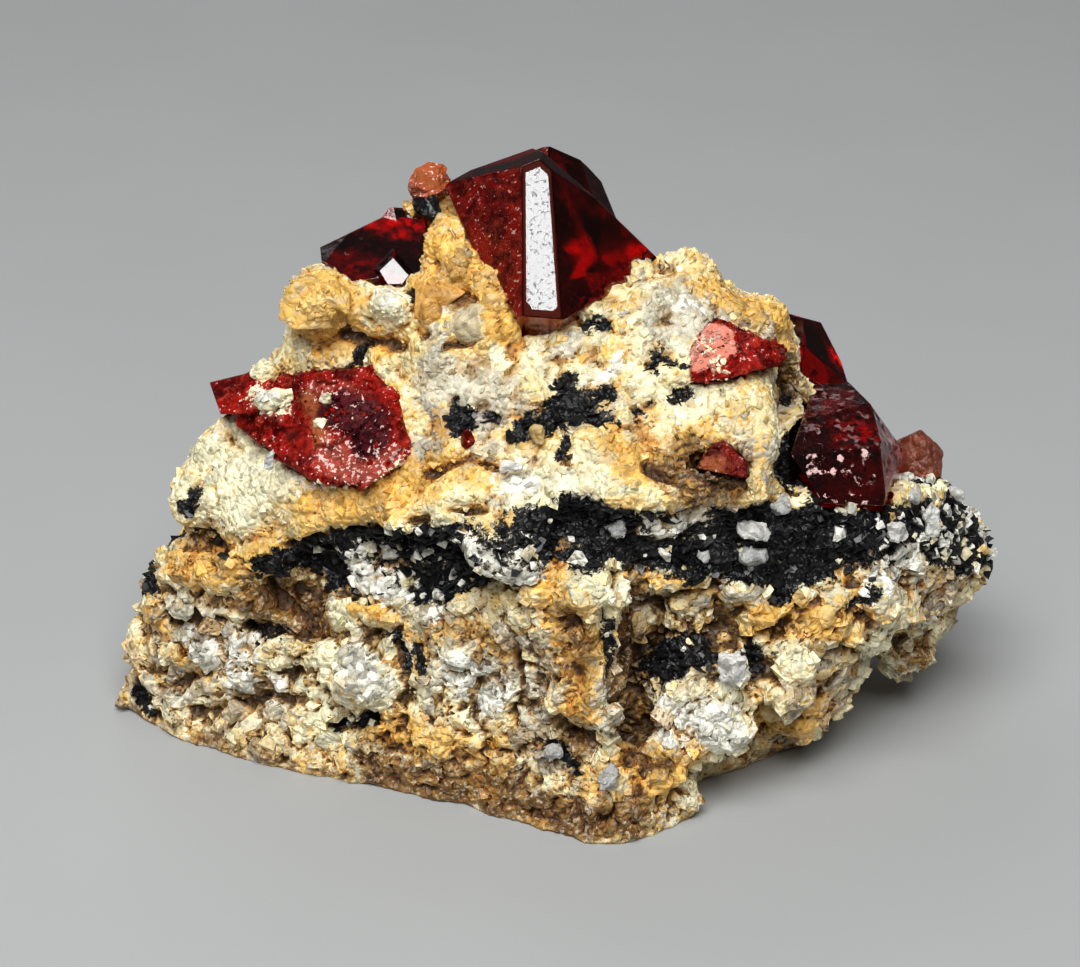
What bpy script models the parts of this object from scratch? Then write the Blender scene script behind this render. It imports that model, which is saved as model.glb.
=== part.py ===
"""Red zircon crystals on a banded matrix of feldspar, calcite and black mica.

Blender 4.5 script, metres, +Z up. The specimen rests on the flat foot of its
matrix, and the origin is on that foot. +X is to the right of the display side,
which faces -Y. Lengths in the tables below are millimetres, angles degrees.
"""

import math

import bmesh
import bpy
from mathutils import Vector, noise

MM = 0.001

# Driving dimensions, millimetres.
SOCKET_GAP = 0.3                 # clearance between a crystal and its socket
VOXEL = 0.45                     # grid on which the rock's blocks grow together
MATRIX_FACES = 7600              # triangles left in the rock before its sockets
FOOT_LEVEL = 0.0                 # the plane that the rock rests on
SWELL = 0.2                      # what the rock gains all round before it weathers
LUMP_SIZE, LUMP_HEIGHT = 5.0, 0.7
CLOD_SIZE, CLOD_HEIGHT = 2.3, 0.6
GRAIN_SIZE, GRAIN_HEIGHT = 1.1, 0.22
PLATE_PITCH, PLATE_STEP = 1.6, 0.25
BED_NORMAL = (0.10, -0.22, 0.97)  # across the rock's bedding
SEED = 5

# The rock's broken blocks. Each has the corners of its display side, the depth
# where it ends at the back, how much it narrows towards there, and how steeply
# its top falls away to the back.
BLOCKS = {
    "core": (8, 0.9, 0.2, [
        (-12, 0, 1), (-6, -4.5, 1.5), (4, -6.3, 1), (8, -5.2, 3), (12, -1.5, 2),
        (13, -1, 12), (6, -5.6, 12), (-8, -2.5, 11), (-14, 2, 8), (0, -1, 19),
        (-8, 3, 18), (8, 2, 17), (-12, 1, -0.9), (3, -6, -0.9), (9, -1.5, -0.9),
        (-9, 6, -0.9), (11, 5, -0.9),
    ]),
    "cap": (9.5, 0.8, 0.5, [
        (-11.5, -3, 10.5), (-7, -5.5, 12.5), (-2.5, -7, 14), (2.5, -7.5, 15),
        (6, -7.5, 15), (9.3, -6.3, 14.8), (-16.8, 1, 12), (-17.6, 1, 9.3),
        (-15, 1.5, 14.3), (-13.3, 2.5, 17.3), (-12, 3, 19.5), (-10, 3, 20.6),
        (-5, 1, 21), (0, -1.2, 19.6), (2.5, -1, 21), (5.5, 1, 21.3),
        (8.5, 2, 20), (9.4, 0, 19.3), (9.4, -3.5, 17.6),
    ]),
    "shoulder": (10, 0.8, 0.5, [
        (6, 4, 21), (7, 3, 21), (10.3, 3.5, 18.6), (10.2, 3.4, 15),
        (9.8, 0.5, 16), (6, 1, 15),
    ]),
    "right step": (9.5, 0.85, 0.4, [
        (9.8, 0.5, 15.2), (11, 2.8, 16.2), (12.6, 3, 15), (13.8, 2.6, 13.8),
        (15.2, 2, 11.6), (10.5, -1, 12), (12.5, -0.4, 12.5),
    ]),
    "summit": (8.5, 0.8, 0.5, [
        (-10.6, 4.5, 20.2), (-9.5, 4, 20.6), (-6.8, 6, 23.3), (-4.5, 6, 23.4),
        (2.6, 4.5, 21.2), (3.9, 3.5, 21.6), (6.2, 4, 21.2), (0, 2, 17),
    ]),
    "mica band": (10, 0.8, 0.3, [
        (-12, -1, 9.8), (-6, -4, 12), (0, -6.3, 14), (6, -6.3, 14.4),
        (10.2, -5, 13.7), (14, -2.5, 12.7), (17.4, 1, 11.9), (18.7, 2, 10.3),
        (-11.6, -1.5, 6.8), (-6, -4.5, 8.6), (0, -6.5, 11), (6, -6.5, 10.8),
        (10.3, -5.5, 9.4), (15, -3, 9.5), (19, 1.5, 7), (19.5, 2.5, 8.6),
    ]),
    "left ledge": (8.5, 0.85, 0.2, [
        (-19.2, 1, 6), (-17.9, 1.5, 8.4), (-12, -3, 10.1), (-11.5, -3.8, 8.9),
        (-14.5, -2, 7.2), (-19.7, 1, 4.8),
    ]),
    "lower left": (9, 0.85, 0, [
        (-19.7, 2.2, 5), (-14.5, -0.2, 5.6), (-10.5, -2.8, 7), (-6, -5.5, 8.8),
        (0, -8, 11.4), (-21, 1.8, 0.4), (-17.5, -0.8, 1), (-13.5, -3, 1.2),
        (-16.5, -0.8, 4), (-12, -3.2, 4.2), (-10.4, -3.8, 1.2),
        (-7, -5.7, 2), (-1.8, -7.8, 2.3), (1.4, -9.3, 4.5),
    ]),
    "rib": (-2, 0.9, 0, [
        (-0.7, -8, 11.6), (1.5, -8.5, 12.6), (2.5, -9, 11), (2.4, -9.8, 4.5),
        (0, -9.2, 3.4), (-0.9, -8.8, 8.6),
    ]),
    "foot left": (8.5, 0.85, 0, [
        (-20.8, 2.4, -0.9), (-18.9, -0.2, -0.9), (-16.9, -1.5, -0.9),
        (-14.4, -3.5, -0.9), (-9.4, -4.4, -0.9), (-4.4, -6.4, -0.9),
        (-1.3, -8, -0.9), (-20.2, 2.2, 2), (-14.5, -2.8, 2), (-4.4, -6.2, 3),
        (0, -8, 3.5),
    ]),
    "keel": (5, 0.9, 0, [
        (-4.4, -6.5, -0.9), (-1.3, -8.1, -0.9), (1, -9.8, -0.9), (2, -11.3, -0.9),
        (3.2, -11, -0.9), (4.9, -9, -0.9), (5.6, -5.8, -0.9), (6, -5.8, 1.4),
        (1.7, -9.8, 4.6), (4, -9.4, 2.6), (-4, -6.6, 3),
    ]),
    "foot right": (8.5, 0.85, 0, [
        (6, -5.5, -0.9), (8.6, -2.9, -0.9), (10.4, -2, -0.9), (12, -0.2, -0.9),
        (13, 2.6, -0.9), (13.6, 4.8, -0.9), (8.5, -4.2, 3), (12.4, -2.2, 3.6),
        (13.8, 1.4, 3.2),
    ]),
    "right lump": (7, 0.8, 0.3, [
        (9, -6, 10), (14.2, -4.5, 9.3), (14.2, -3, 5.4), (12.7, -3.2, 3.2),
        (10.6, -4.2, 1.6), (8.8, -4.8, 2.2), (8, -6.3, 7.8),
    ]),
    "white lump": (-2, 0.9, 0, [
        (4.2, -7.4, 5.8), (5.5, -8, 7.5), (7.8, -7.5, 7.6), (8.5, -7, 3),
        (6.1, -8, 2.6), (4, -8.4, 4),
    ]),
    "right end": (9, 0.75, 0.3, [
        (15, 0, 12.3), (17.4, 1.5, 11.8), (19.6, 2.5, 8.8), (19.2, 2, 6.5),
        (18.8, 2.5, 3.8), (17.4, 2, 2.6), (15.3, 1, 1.4), (14.4, -2.8, 7.6),
        (13, -3.7, 10.7),
    ]),
    "ochre rhomb": (4, 0.7, 0.3, [
        (-6.6, 0.8, 21.9), (-5.2, 1.6, 22.2), (-4.1, 1, 21.9), (-4.8, -0.4, 21.3),
        (-5.7, -0.6, 21.1), (-5.5, -1, 20.1), (-4.2, -0.2, 20.9), (-6.6, 0.4, 20),
    ]),
}

# Round knobs on the blocks: centre, then radii.
KNOBS = [
    ((-10.4, 1.8, 20.4), (1.7, 1.7, 1.7)),     # ochre knob, upper left
    ((-6.9, 6, 22.9), (0.8, 0.9, 0.9)),        # pale seat of the pink crystal
    ((-4.9, 3.4, 22.1), (1.2, 1.6, 1.4)),      # ochre between the two big crystals
    ((-4.3, 1.1, 21), (1.3, 1.5, 1.4)),
    ((-3.1, -0.3, 20.2), (1.1, 1.4, 1.3)),
    ((-7.3, 0.7, 20.3), (1.3, 1.2, 1.2)),      # white grains under the upper left one
    ((-5.2, -1, 19), (1.2, 1, 1.1)),
    ((3.7, 0.2, 20.6), (1.6, 1.4, 1.2)),       # white, right of the main crystal
    ((5.8, 2.6, 20.8), (1.5, 1.7, 1.4)),
    ((8.4, 2.4, 19.4), (1.6, 1.8, 1.1)),       # ridge over the flush crystal
    ((9.8, 2, 17.6), (1, 1.5, 1.2)),
    ((12, 2.6, 14.9), (1, 1.3, 1.1)),          # between the right hand crystals
    ((-16.2, 1.2, 11.2), (1.5, 1.5, 1.6)),
    ((-2, -7.3, 12.9), (1.6, 1.1, 1)),         # pale lip over the black band
    ((13.6, -4.2, 9), (0.9, 0.8, 0.9)),
    ((10, -6, 5.8), (1.2, 1, 1.6)),
]

# Crystals: the finish, then the parts that grew together. Each part is its
# centre and its faces as (azimuth, elevation, distance from the centre), the
# azimuth from +X towards +Y.
CRYSTALS = {
    "zircon_main": ("zircon", [
        ((-0.4, 3.2, 22.3), [
            (-93, 40, 3.2),    # the narrow prism face that catches the light
            (-50, 35, 2.8), (-138, 29, 3.2), (-98, -44, 4.6), (-37, -39, 3.6),
            (-2, 53, 3.15), (27, 41, 2.75), (163, 68, 4.1), (141, 38, 5.1),
            (82, 53, 4.55), (-173, -26, 3), (-162, -24, 3.2), (-11, -62, 2.4),
            (60, 10, 4.4), (95, 22, 3.6),
        ]),
        ((0.6, 5.6, 22.6), [   # the parallel crystal behind it
            (-45, 43, 2.2), (-12, 30, 1.75), (98, 44, 2.5), (74, 44, 2.1),
            (55, 42, 2.15), (9, 20, 1.85), (-140, 45, 3.4), (85, 18, 2.5),
            (-100, -30, 2.5), (180, -10, 3), (0, -60, 3.5),
        ]),
    ]),
    "zircon_upper_left": ("zircon", [
        ((-8, 4.5, 21.9), [
            (-97, 53, 0.85), (149, 58, 1.2), (147, 59, 1.1), (70, 69, 1.4),
            (-174, -4, 2.65), (-133, -15, 2.6), (-83, -27, 2.3), (6, 11, 2.2),
            (-62, 40, 1.85), (-125, 58, 1.15), (90, 10, 2.6), (0, -80, 2.6),
        ]),
        ((-7.2, 1.9, 21.7), [  # small tip whose face is parallel to the main one's
            (-93, 40, 0.25), (179, 52, 0.5), (-154, -18, 0.65), (-91, -55, 0.65),
            (-26, -26, 0.65), (4, 47, 0.35), (93, -21, 1.6),
        ]),
        ((-7.4, 5.2, 23.2), [
            (-105, 30, 0.45), (-60, 35, 0.45), (169, 35, 0.3), (77, 70, 0.25),
            (13, 26, 0.45), (-4, -18, 0.8), (-90, -70, 1), (-170, -17, 0.75),
            (93, -20, 1.1),
        ]),
    ]),
    "zircon_right": ("zircon", [
        ((12.8, -0.2, 14), [
            (-72, 73, 1.55), (-73, 36, 2.15), (-6, 34, 1.7), (-18, 18, 1.8),
            (168, 15, 2.45), (-169, -32, 2.25), (-94, -64, 2.4), (154, 85, 1.85),
            (16, 34, 2), (-16, -3, 2.1), (90, -20, 3),
        ]),
    ]),
    "zircon_far_right": ("zircon_brown", [
        ((16.4, 3.6, 11.9), [
            (-95, 20, 1), (-40, 25, 1), (-150, 30, 1), (-80, 65, 1.25),
            (20, 40, 1), (110, 50, 1.25), (180, 5, 1.1), (0, -10, 1), (60, 0, 1.2),
            (130, -10, 1.2), (0, -85, 1.6), (-60, -40, 1.4), (-140, -30, 1.3),
            (-10, 70, 1.2), (150, 55, 1.2),
        ]),
    ]),
    "zircon_back_right": ("zircon", [
        ((12.2, 7, 15.3), [
            (-28, 34, 0.8), (-50, 20, 1.2), (52, 65, 1.7), (6, 27, 0.7),
            (2, 19, 0.75), (-160, 23, 2.1), (-100, -40, 1.8), (90, 0, 2.2),
            (0, -70, 2.2), (180, -20, 1.8),
        ]),
    ]),
    "zircon_left": ("zircon_broken", [
        ((-10.3, -0.6, 15.2), [
            (-134, 40, 1.4), (-112, 44, 1.4), (-124, 28, 1.75), (154, 51, 3),
            (106, 67, 2.55), (97, 67, 2.6), (22, 37, 3.3), (9, 15, 3.4),
            (-4, -15, 3.7), (-30, -50, 3.05), (-110, -63, 2.25), (-147, -45, 2.15),
            (-175, 2, 3.9), (96, -23, 1.85),
        ]),
        ((-14.3, 1.8, 15.9), [
            (-130, 45, 0.6), (124, 65, 0.8), (12, 15, 1.5), (-35, -57, 1),
            (-90, -66, 0.9), (-167, -15, 1.05), (97, -23, 1.9),
        ]),
    ]),
    "zircon_flush": ("zircon_broken", [
        ((7.6, -1.4, 19.2), [
            (-81, 58, 0.9), (162, 32, 1.75), (90, 68, 1.3), (41, 60, 0.95),
            (-10, -13, 1.85), (-47, -58, 1), (-61, -63, 0.95), (-112, -66, 1.5),
            (177, -1, 1.95), (87, -22, 1.4),
        ]),
    ]),
    "zircon_chip": ("zircon", [
        ((6.8, -6, 16.1), [
            (-70, 38, 0.45), (-112, 38, 0.45), (171, 12, 1), (147, 48, 0.8),
            (24, 46, 0.75), (-5, -1, 1.1), (-115, -63, 0.45), (87, -25, 1.35),
        ]),
    ]),
    "pink_crystal": ("pink", [
        ((-5.8, 6, 24.4), [
            (-90, 20, 0.7), (-35, 20, 0.8), (-150, 25, 0.75), (-110, 65, 0.7),
            (60, 60, 0.7), (0, 0, 0.85), (180, 0, 0.9), (90, 0, 1),
            (-60, -35, 0.7), (-130, -35, 0.7), (0, -85, 0.9), (130, 45, 0.7),
            (20, 45, 0.75),
        ]),
    ]),
    "black_crystal": ("black", [
        ((-5.9, 4.8, 23.5), [
            (-95, 25, 0.45), (-40, 40, 0.5), (-160, 20, 0.4), (100, 60, 0.65),
            (20, 20, 0.5), (170, 50, 0.5), (0, -80, 0.7), (90, 0, 0.9),
            (-90, -50, 0.55), (10, -20, 0.45), (180, -20, 0.45),
        ]),
    ]),
}

# Crystals that stop short of an older neighbour.
STOPPED_BY = {
    "zircon_back_right": ["zircon_right"],
    "zircon_far_right": ["zircon_right"],
    "zircon_left": ["zircon_upper_left"],
    "pink_crystal": ["zircon_main", "zircon_upper_left"],
    "black_crystal": ["zircon_main", "zircon_upper_left", "pink_crystal"],
}


def direction(azimuth, elevation):
    """Unit vector; azimuth from +X towards +Y, elevation above the horizon."""
    a, e = math.radians(azimuth), math.radians(elevation)
    return Vector((math.cos(a) * math.cos(e), math.sin(a) * math.cos(e), math.sin(e)))


def material(name, colour, roughness, transmission=0.0, ior=1.5):
    made = bpy.data.materials.new(name)
    made.use_nodes = True
    shader = made.node_tree.nodes["Principled BSDF"]
    shader.inputs["Base Color"].default_value = (*colour, 1)
    shader.inputs["Roughness"].default_value = roughness
    shader.inputs["Metallic"].default_value = 0.0
    shader.inputs["Transmission Weight"].default_value = transmission
    shader.inputs["IOR"].default_value = ior
    made.diffuse_color = (*colour, 1)
    return made


def object_from(shape, name, finish=None):
    mesh = bpy.data.meshes.new(name)
    shape.to_mesh(mesh)
    shape.free()
    made = bpy.data.objects.new(name, mesh)
    bpy.context.scene.collection.objects.link(made)
    if finish:
        mesh.materials.append(finish)
    return made


def apply_modifiers(obj):
    graph = bpy.context.evaluated_depsgraph_get()
    flat = bpy.data.meshes.new_from_object(obj.evaluated_get(graph))
    obj.modifiers.clear()
    obj.data = flat


# ---------------------------------------------------------------- crystals


def crystal_mesh(centre, faces, grow=0.0):
    """A cube cut by each face's plane, with every plane moved out by grow."""
    shape = bmesh.new()
    reach = 4 * max(distance for _, _, distance in faces)
    bmesh.ops.create_cube(shape, size=reach * MM)
    for azimuth, elevation, distance in faces:
        normal = direction(azimuth, elevation)
        cut = bmesh.ops.bisect_plane(
            shape,
            geom=shape.verts[:] + shape.edges[:] + shape.faces[:],
            dist=1e-7,
            plane_co=normal * (distance + grow) * MM,
            plane_no=normal,
            clear_outer=True,
        )
        rim = [item for item in cut["geom_cut"] if isinstance(item, bmesh.types.BMEdge)]
        if rim:
            bmesh.ops.contextual_create(shape, geom=rim)
    bmesh.ops.remove_doubles(shape, verts=shape.verts, dist=1e-6)
    bmesh.ops.dissolve_degenerate(shape, edges=shape.edges, dist=1e-6)
    bmesh.ops.recalc_face_normals(shape, faces=shape.faces)
    bmesh.ops.translate(shape, verts=shape.verts, vec=Vector(centre) * MM)
    return shape


def grown_together(name, parts, grow=0.0, finish=None):
    """The parts of one crystal as a single solid."""
    pieces = [
        object_from(crystal_mesh(centre, faces, grow), f"{name}_part", finish)
        for centre, faces in parts
    ]
    whole = pieces[0]
    whole.name = name
    for piece in pieces[1:]:
        join = whole.modifiers.new("grow together", "BOOLEAN")
        join.operation = "UNION"
        join.solver = "EXACT"
        join.object = piece
    if len(pieces) > 1:
        apply_modifiers(whole)
    for piece in pieces[1:]:
        bpy.data.objects.remove(piece)
    return whole


# ------------------------------------------------------------------ matrix


def add_hull(shape, corners):
    verts = [shape.verts.new(corner * MM) for corner in corners]
    bmesh.ops.convex_hull(shape, input=verts)
    loose = [vertex for vertex in verts if vertex.is_valid and not vertex.link_faces]
    bmesh.ops.delete(shape, geom=loose, context="VERTS")


def add_block(shape, back, narrow, fall, front):
    """The hull of a block's front corners and of their copies at its back."""
    corners = [Vector(corner) for corner in front]
    centre = sum(corners, Vector()) / len(corners)
    for corner in corners[:]:
        far = centre + (corner - centre) * narrow
        far.y = back + 0.12 * (corner.y - centre.y)
        far.z = max(far.z - fall * (back - corner.y), min(far.z, 1.0))
        corners.append(far)
    add_hull(shape, corners)


def add_knob(shape, centre, radii):
    ball = bmesh.ops.create_icosphere(shape, subdivisions=2, radius=1.0)
    for vertex in ball["verts"]:
        vertex.co = (Vector(centre) + Vector(map(math.prod, zip(vertex.co, radii)))) * MM


def weathering(point, normal):
    """How far the rock's face stands out at a point, in millimetres."""
    bent = point + noise.noise_vector(point / 3) * 1.0
    near = noise.voronoi(bent / CLOD_SIZE)[0]
    clods = min(near[1] - near[0], 0.5) * 2
    close = noise.voronoi(bent / GRAIN_SIZE)[0]
    grains = min(close[1] - close[0], 0.5) * 2
    along = point.dot(Vector(BED_NORMAL).normalized()) / PLATE_PITCH
    along += 0.6 * noise.noise(point / 4)
    plates = abs(along - math.floor(along) - 0.5) * 2
    return (
        SWELL
        + LUMP_HEIGHT * noise.fractal(point / LUMP_SIZE, 1.0, 2.0, 3)
        + CLOD_HEIGHT * (clods - 0.6)
        + GRAIN_HEIGHT * (grains - 0.5)
        + PLATE_STEP * (1 - abs(normal.z)) * (plates - 0.5)
    )


def put_in_order(obj):
    """Sorts the mesh by position, so that each build of it comes out the same."""
    mesh = obj.data
    spots = [tuple(round(value, 8) for value in vertex.co) for vertex in mesh.vertices]
    order = sorted(range(len(spots)), key=spots.__getitem__)
    place = {old: new for new, old in enumerate(order)}
    faces = []
    for polygon in mesh.polygons:
        corners = [place[index] for index in polygon.vertices]
        first = corners.index(min(corners))
        faces.append(corners[first:] + corners[:first])
    finish = mesh.materials[0] if mesh.materials else None
    ordered = bpy.data.meshes.new(mesh.name)
    ordered.from_pydata([spots[old] for old in order], [], sorted(faces))
    if finish:
        ordered.materials.append(finish)
    obj.data = ordered


def fuse(rock):
    heal = rock.modifiers.new("grow together", "REMESH")
    heal.mode = "VOXEL"
    heal.voxel_size = VOXEL * MM
    apply_modifiers(rock)
    put_in_order(rock)


def matrix_rock(finish):
    shape = bmesh.new()
    for back, narrow, fall, front in BLOCKS.values():
        add_block(shape, back, narrow, fall, front)
    for centre, radii in KNOBS:
        add_knob(shape, centre, radii)
    bmesh.ops.recalc_face_normals(shape, faces=shape.faces)
    rock = object_from(shape, "matrix", finish)
    fuse(rock)
    places = [
        vertex.co + vertex.normal * weathering(vertex.co / MM, vertex.normal) * MM
        for vertex in rock.data.vertices
    ]
    for vertex, place in zip(rock.data.vertices, places):
        vertex.co = place
    fuse(rock)
    thin = rock.modifiers.new("thin", "DECIMATE")
    thin.ratio = MATRIX_FACES / len(rock.data.polygons) / 2
    apply_modifiers(rock)
    put_in_order(rock)
    return rock


def keep_largest_body(shape):
    """Deletes every loose crumb but the largest body."""
    seen, bodies = set(), []
    for start in shape.verts:
        if start in seen:
            continue
        seen.add(start)
        body = [start]
        for vertex in body:
            for link in vertex.link_edges:
                other = link.other_vert(vertex)
                if other not in seen:
                    seen.add(other)
                    body.append(other)
        bodies.append(body)
    bodies.sort(key=len)
    crumbs = [vertex for body in bodies[:-1] for vertex in body]
    bmesh.ops.delete(shape, geom=crumbs, context="VERTS")


def tidy_solid(rock, shape):
    keep_largest_body(shape)
    bmesh.ops.triangulate(shape, faces=shape.faces)
    bmesh.ops.recalc_face_normals(shape, faces=shape.faces)
    shape.to_mesh(rock.data)
    shape.free()
    put_in_order(rock)


def cut_foot(rock):
    """Cuts the rock off flat at the level it rests on."""
    shape = bmesh.new()
    shape.from_mesh(rock.data)
    cut = bmesh.ops.bisect_plane(
        shape,
        geom=shape.verts[:] + shape.edges[:] + shape.faces[:],
        dist=1e-6,
        plane_co=(0, 0, FOOT_LEVEL * MM),
        plane_no=(0, 0, -1),
        clear_outer=True,
    )
    rim = [item for item in cut["geom_cut"] if isinstance(item, bmesh.types.BMEdge)]
    bmesh.ops.holes_fill(shape, edges=rim)
    tidy_solid(rock, shape)


def make_room(body, names):
    """Cuts from a body the named crystals, each grown by the socket gap."""
    cutters = [
        grown_together(f"{name}_socket", CRYSTALS[name][1], SOCKET_GAP) for name in names
    ]
    for cutter in cutters:
        room = body.modifiers.new("room", "BOOLEAN")
        room.operation = "DIFFERENCE"
        room.solver = "EXACT"
        room.object = cutter
    apply_modifiers(body)
    for cutter in cutters:
        bpy.data.objects.remove(cutter)
    shape = bmesh.new()
    shape.from_mesh(body.data)
    tidy_solid(body, shape)


def main():
    for obj in list(bpy.data.objects):
        bpy.data.objects.remove(obj)
    noise.seed_set(SEED)
    finishes = {
        "rock": material("rock", (0.72, 0.60, 0.38), 0.85),
        "zircon": material("zircon", (0.35, 0.01, 0.01), 0.05, 1.0, 1.95),
        "zircon_broken": material("zircon_broken", (0.45, 0.03, 0.02), 0.2, 0.7, 1.95),
        "zircon_brown": material("zircon_brown", (0.40, 0.12, 0.05), 0.2, 0.6, 1.95),
        "pink": material("pink", (0.75, 0.35, 0.24), 0.5),
        "black": material("black", (0.02, 0.02, 0.02), 0.12),
    }
    rock = matrix_rock(finishes["rock"])
    cut_foot(rock)
    make_room(rock, CRYSTALS)
    for name, (finish, parts) in CRYSTALS.items():
        crystal = grown_together(name, parts, 0.0, finishes[finish])
        if name in STOPPED_BY:
            make_room(crystal, STOPPED_BY[name])


main()
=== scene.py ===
"""Zircon on matrix: the finish of the rock and of its crystals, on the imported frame."""

import math

import bpy
import numpy as np
from bpy.props import (
    FloatProperty,
    FloatVectorProperty,
    IntProperty,
    PointerProperty,
)
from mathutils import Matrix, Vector, noise
from mathutils.bvhtree import BVHTree


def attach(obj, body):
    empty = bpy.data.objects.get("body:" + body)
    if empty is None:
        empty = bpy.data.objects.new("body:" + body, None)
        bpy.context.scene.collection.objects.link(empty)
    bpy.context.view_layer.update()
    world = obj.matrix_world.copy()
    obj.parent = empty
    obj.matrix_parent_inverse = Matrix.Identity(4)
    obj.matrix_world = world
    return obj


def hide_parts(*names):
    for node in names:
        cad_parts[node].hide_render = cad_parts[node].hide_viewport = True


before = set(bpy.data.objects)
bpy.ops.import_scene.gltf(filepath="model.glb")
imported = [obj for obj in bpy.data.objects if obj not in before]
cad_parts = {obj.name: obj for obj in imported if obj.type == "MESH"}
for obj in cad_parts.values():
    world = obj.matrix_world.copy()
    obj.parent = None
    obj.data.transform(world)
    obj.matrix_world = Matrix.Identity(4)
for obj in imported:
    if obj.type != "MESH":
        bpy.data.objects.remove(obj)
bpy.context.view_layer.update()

bl_info = {
    "name": "Zircon on matrix",
    "version": (1, 0, 0),
    "blender": (4, 5, 0),
    "location": "View3D > Sidebar > Specimen",
    "description": "Dresses a mineral specimen: red zircon crystals on a banded rock",
    "category": "Object",
}

MM = 0.001
BODY = "root"

# ------------------------------------------------------------- where colours lie
# Lengths in millimetres, in the specimen's own frame.

BEDDING = Vector((0.10, -0.22, 0.97)).normalized()

# Height of the black band along the bedding's normal, at each x.
BAND_TOP = [
    (-21, 6.9), (-16, 7.8), (-13.5, 8.7), (-12.3, 9.3), (-9.6, 11.0), (-6.9, 13.1),
    (-4.7, 14.3), (-2.6, 15.1), (1.6, 16.4), (5.9, 15.9), (9.4, 15.4), (12.9, 15.0),
    (16, 13.6), (20, 12.4),
]
BAND_FOOT = [
    (-21, 6.9), (-16, 7.75), (-13.5, 8.5), (-12.3, 8.0), (-10.2, 7.0), (-7.9, 8.3),
    (-5.7, 9.6), (-3.9, 10.9), (-2.6, 11.9), (-0.7, 14.0), (1.6, 14.1), (3.8, 12.8),
    (7.7, 12.4), (9.4, 11.9), (12.5, 12.5), (15, 11.7), (17, 10.6), (20, 8.2),
]

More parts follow.
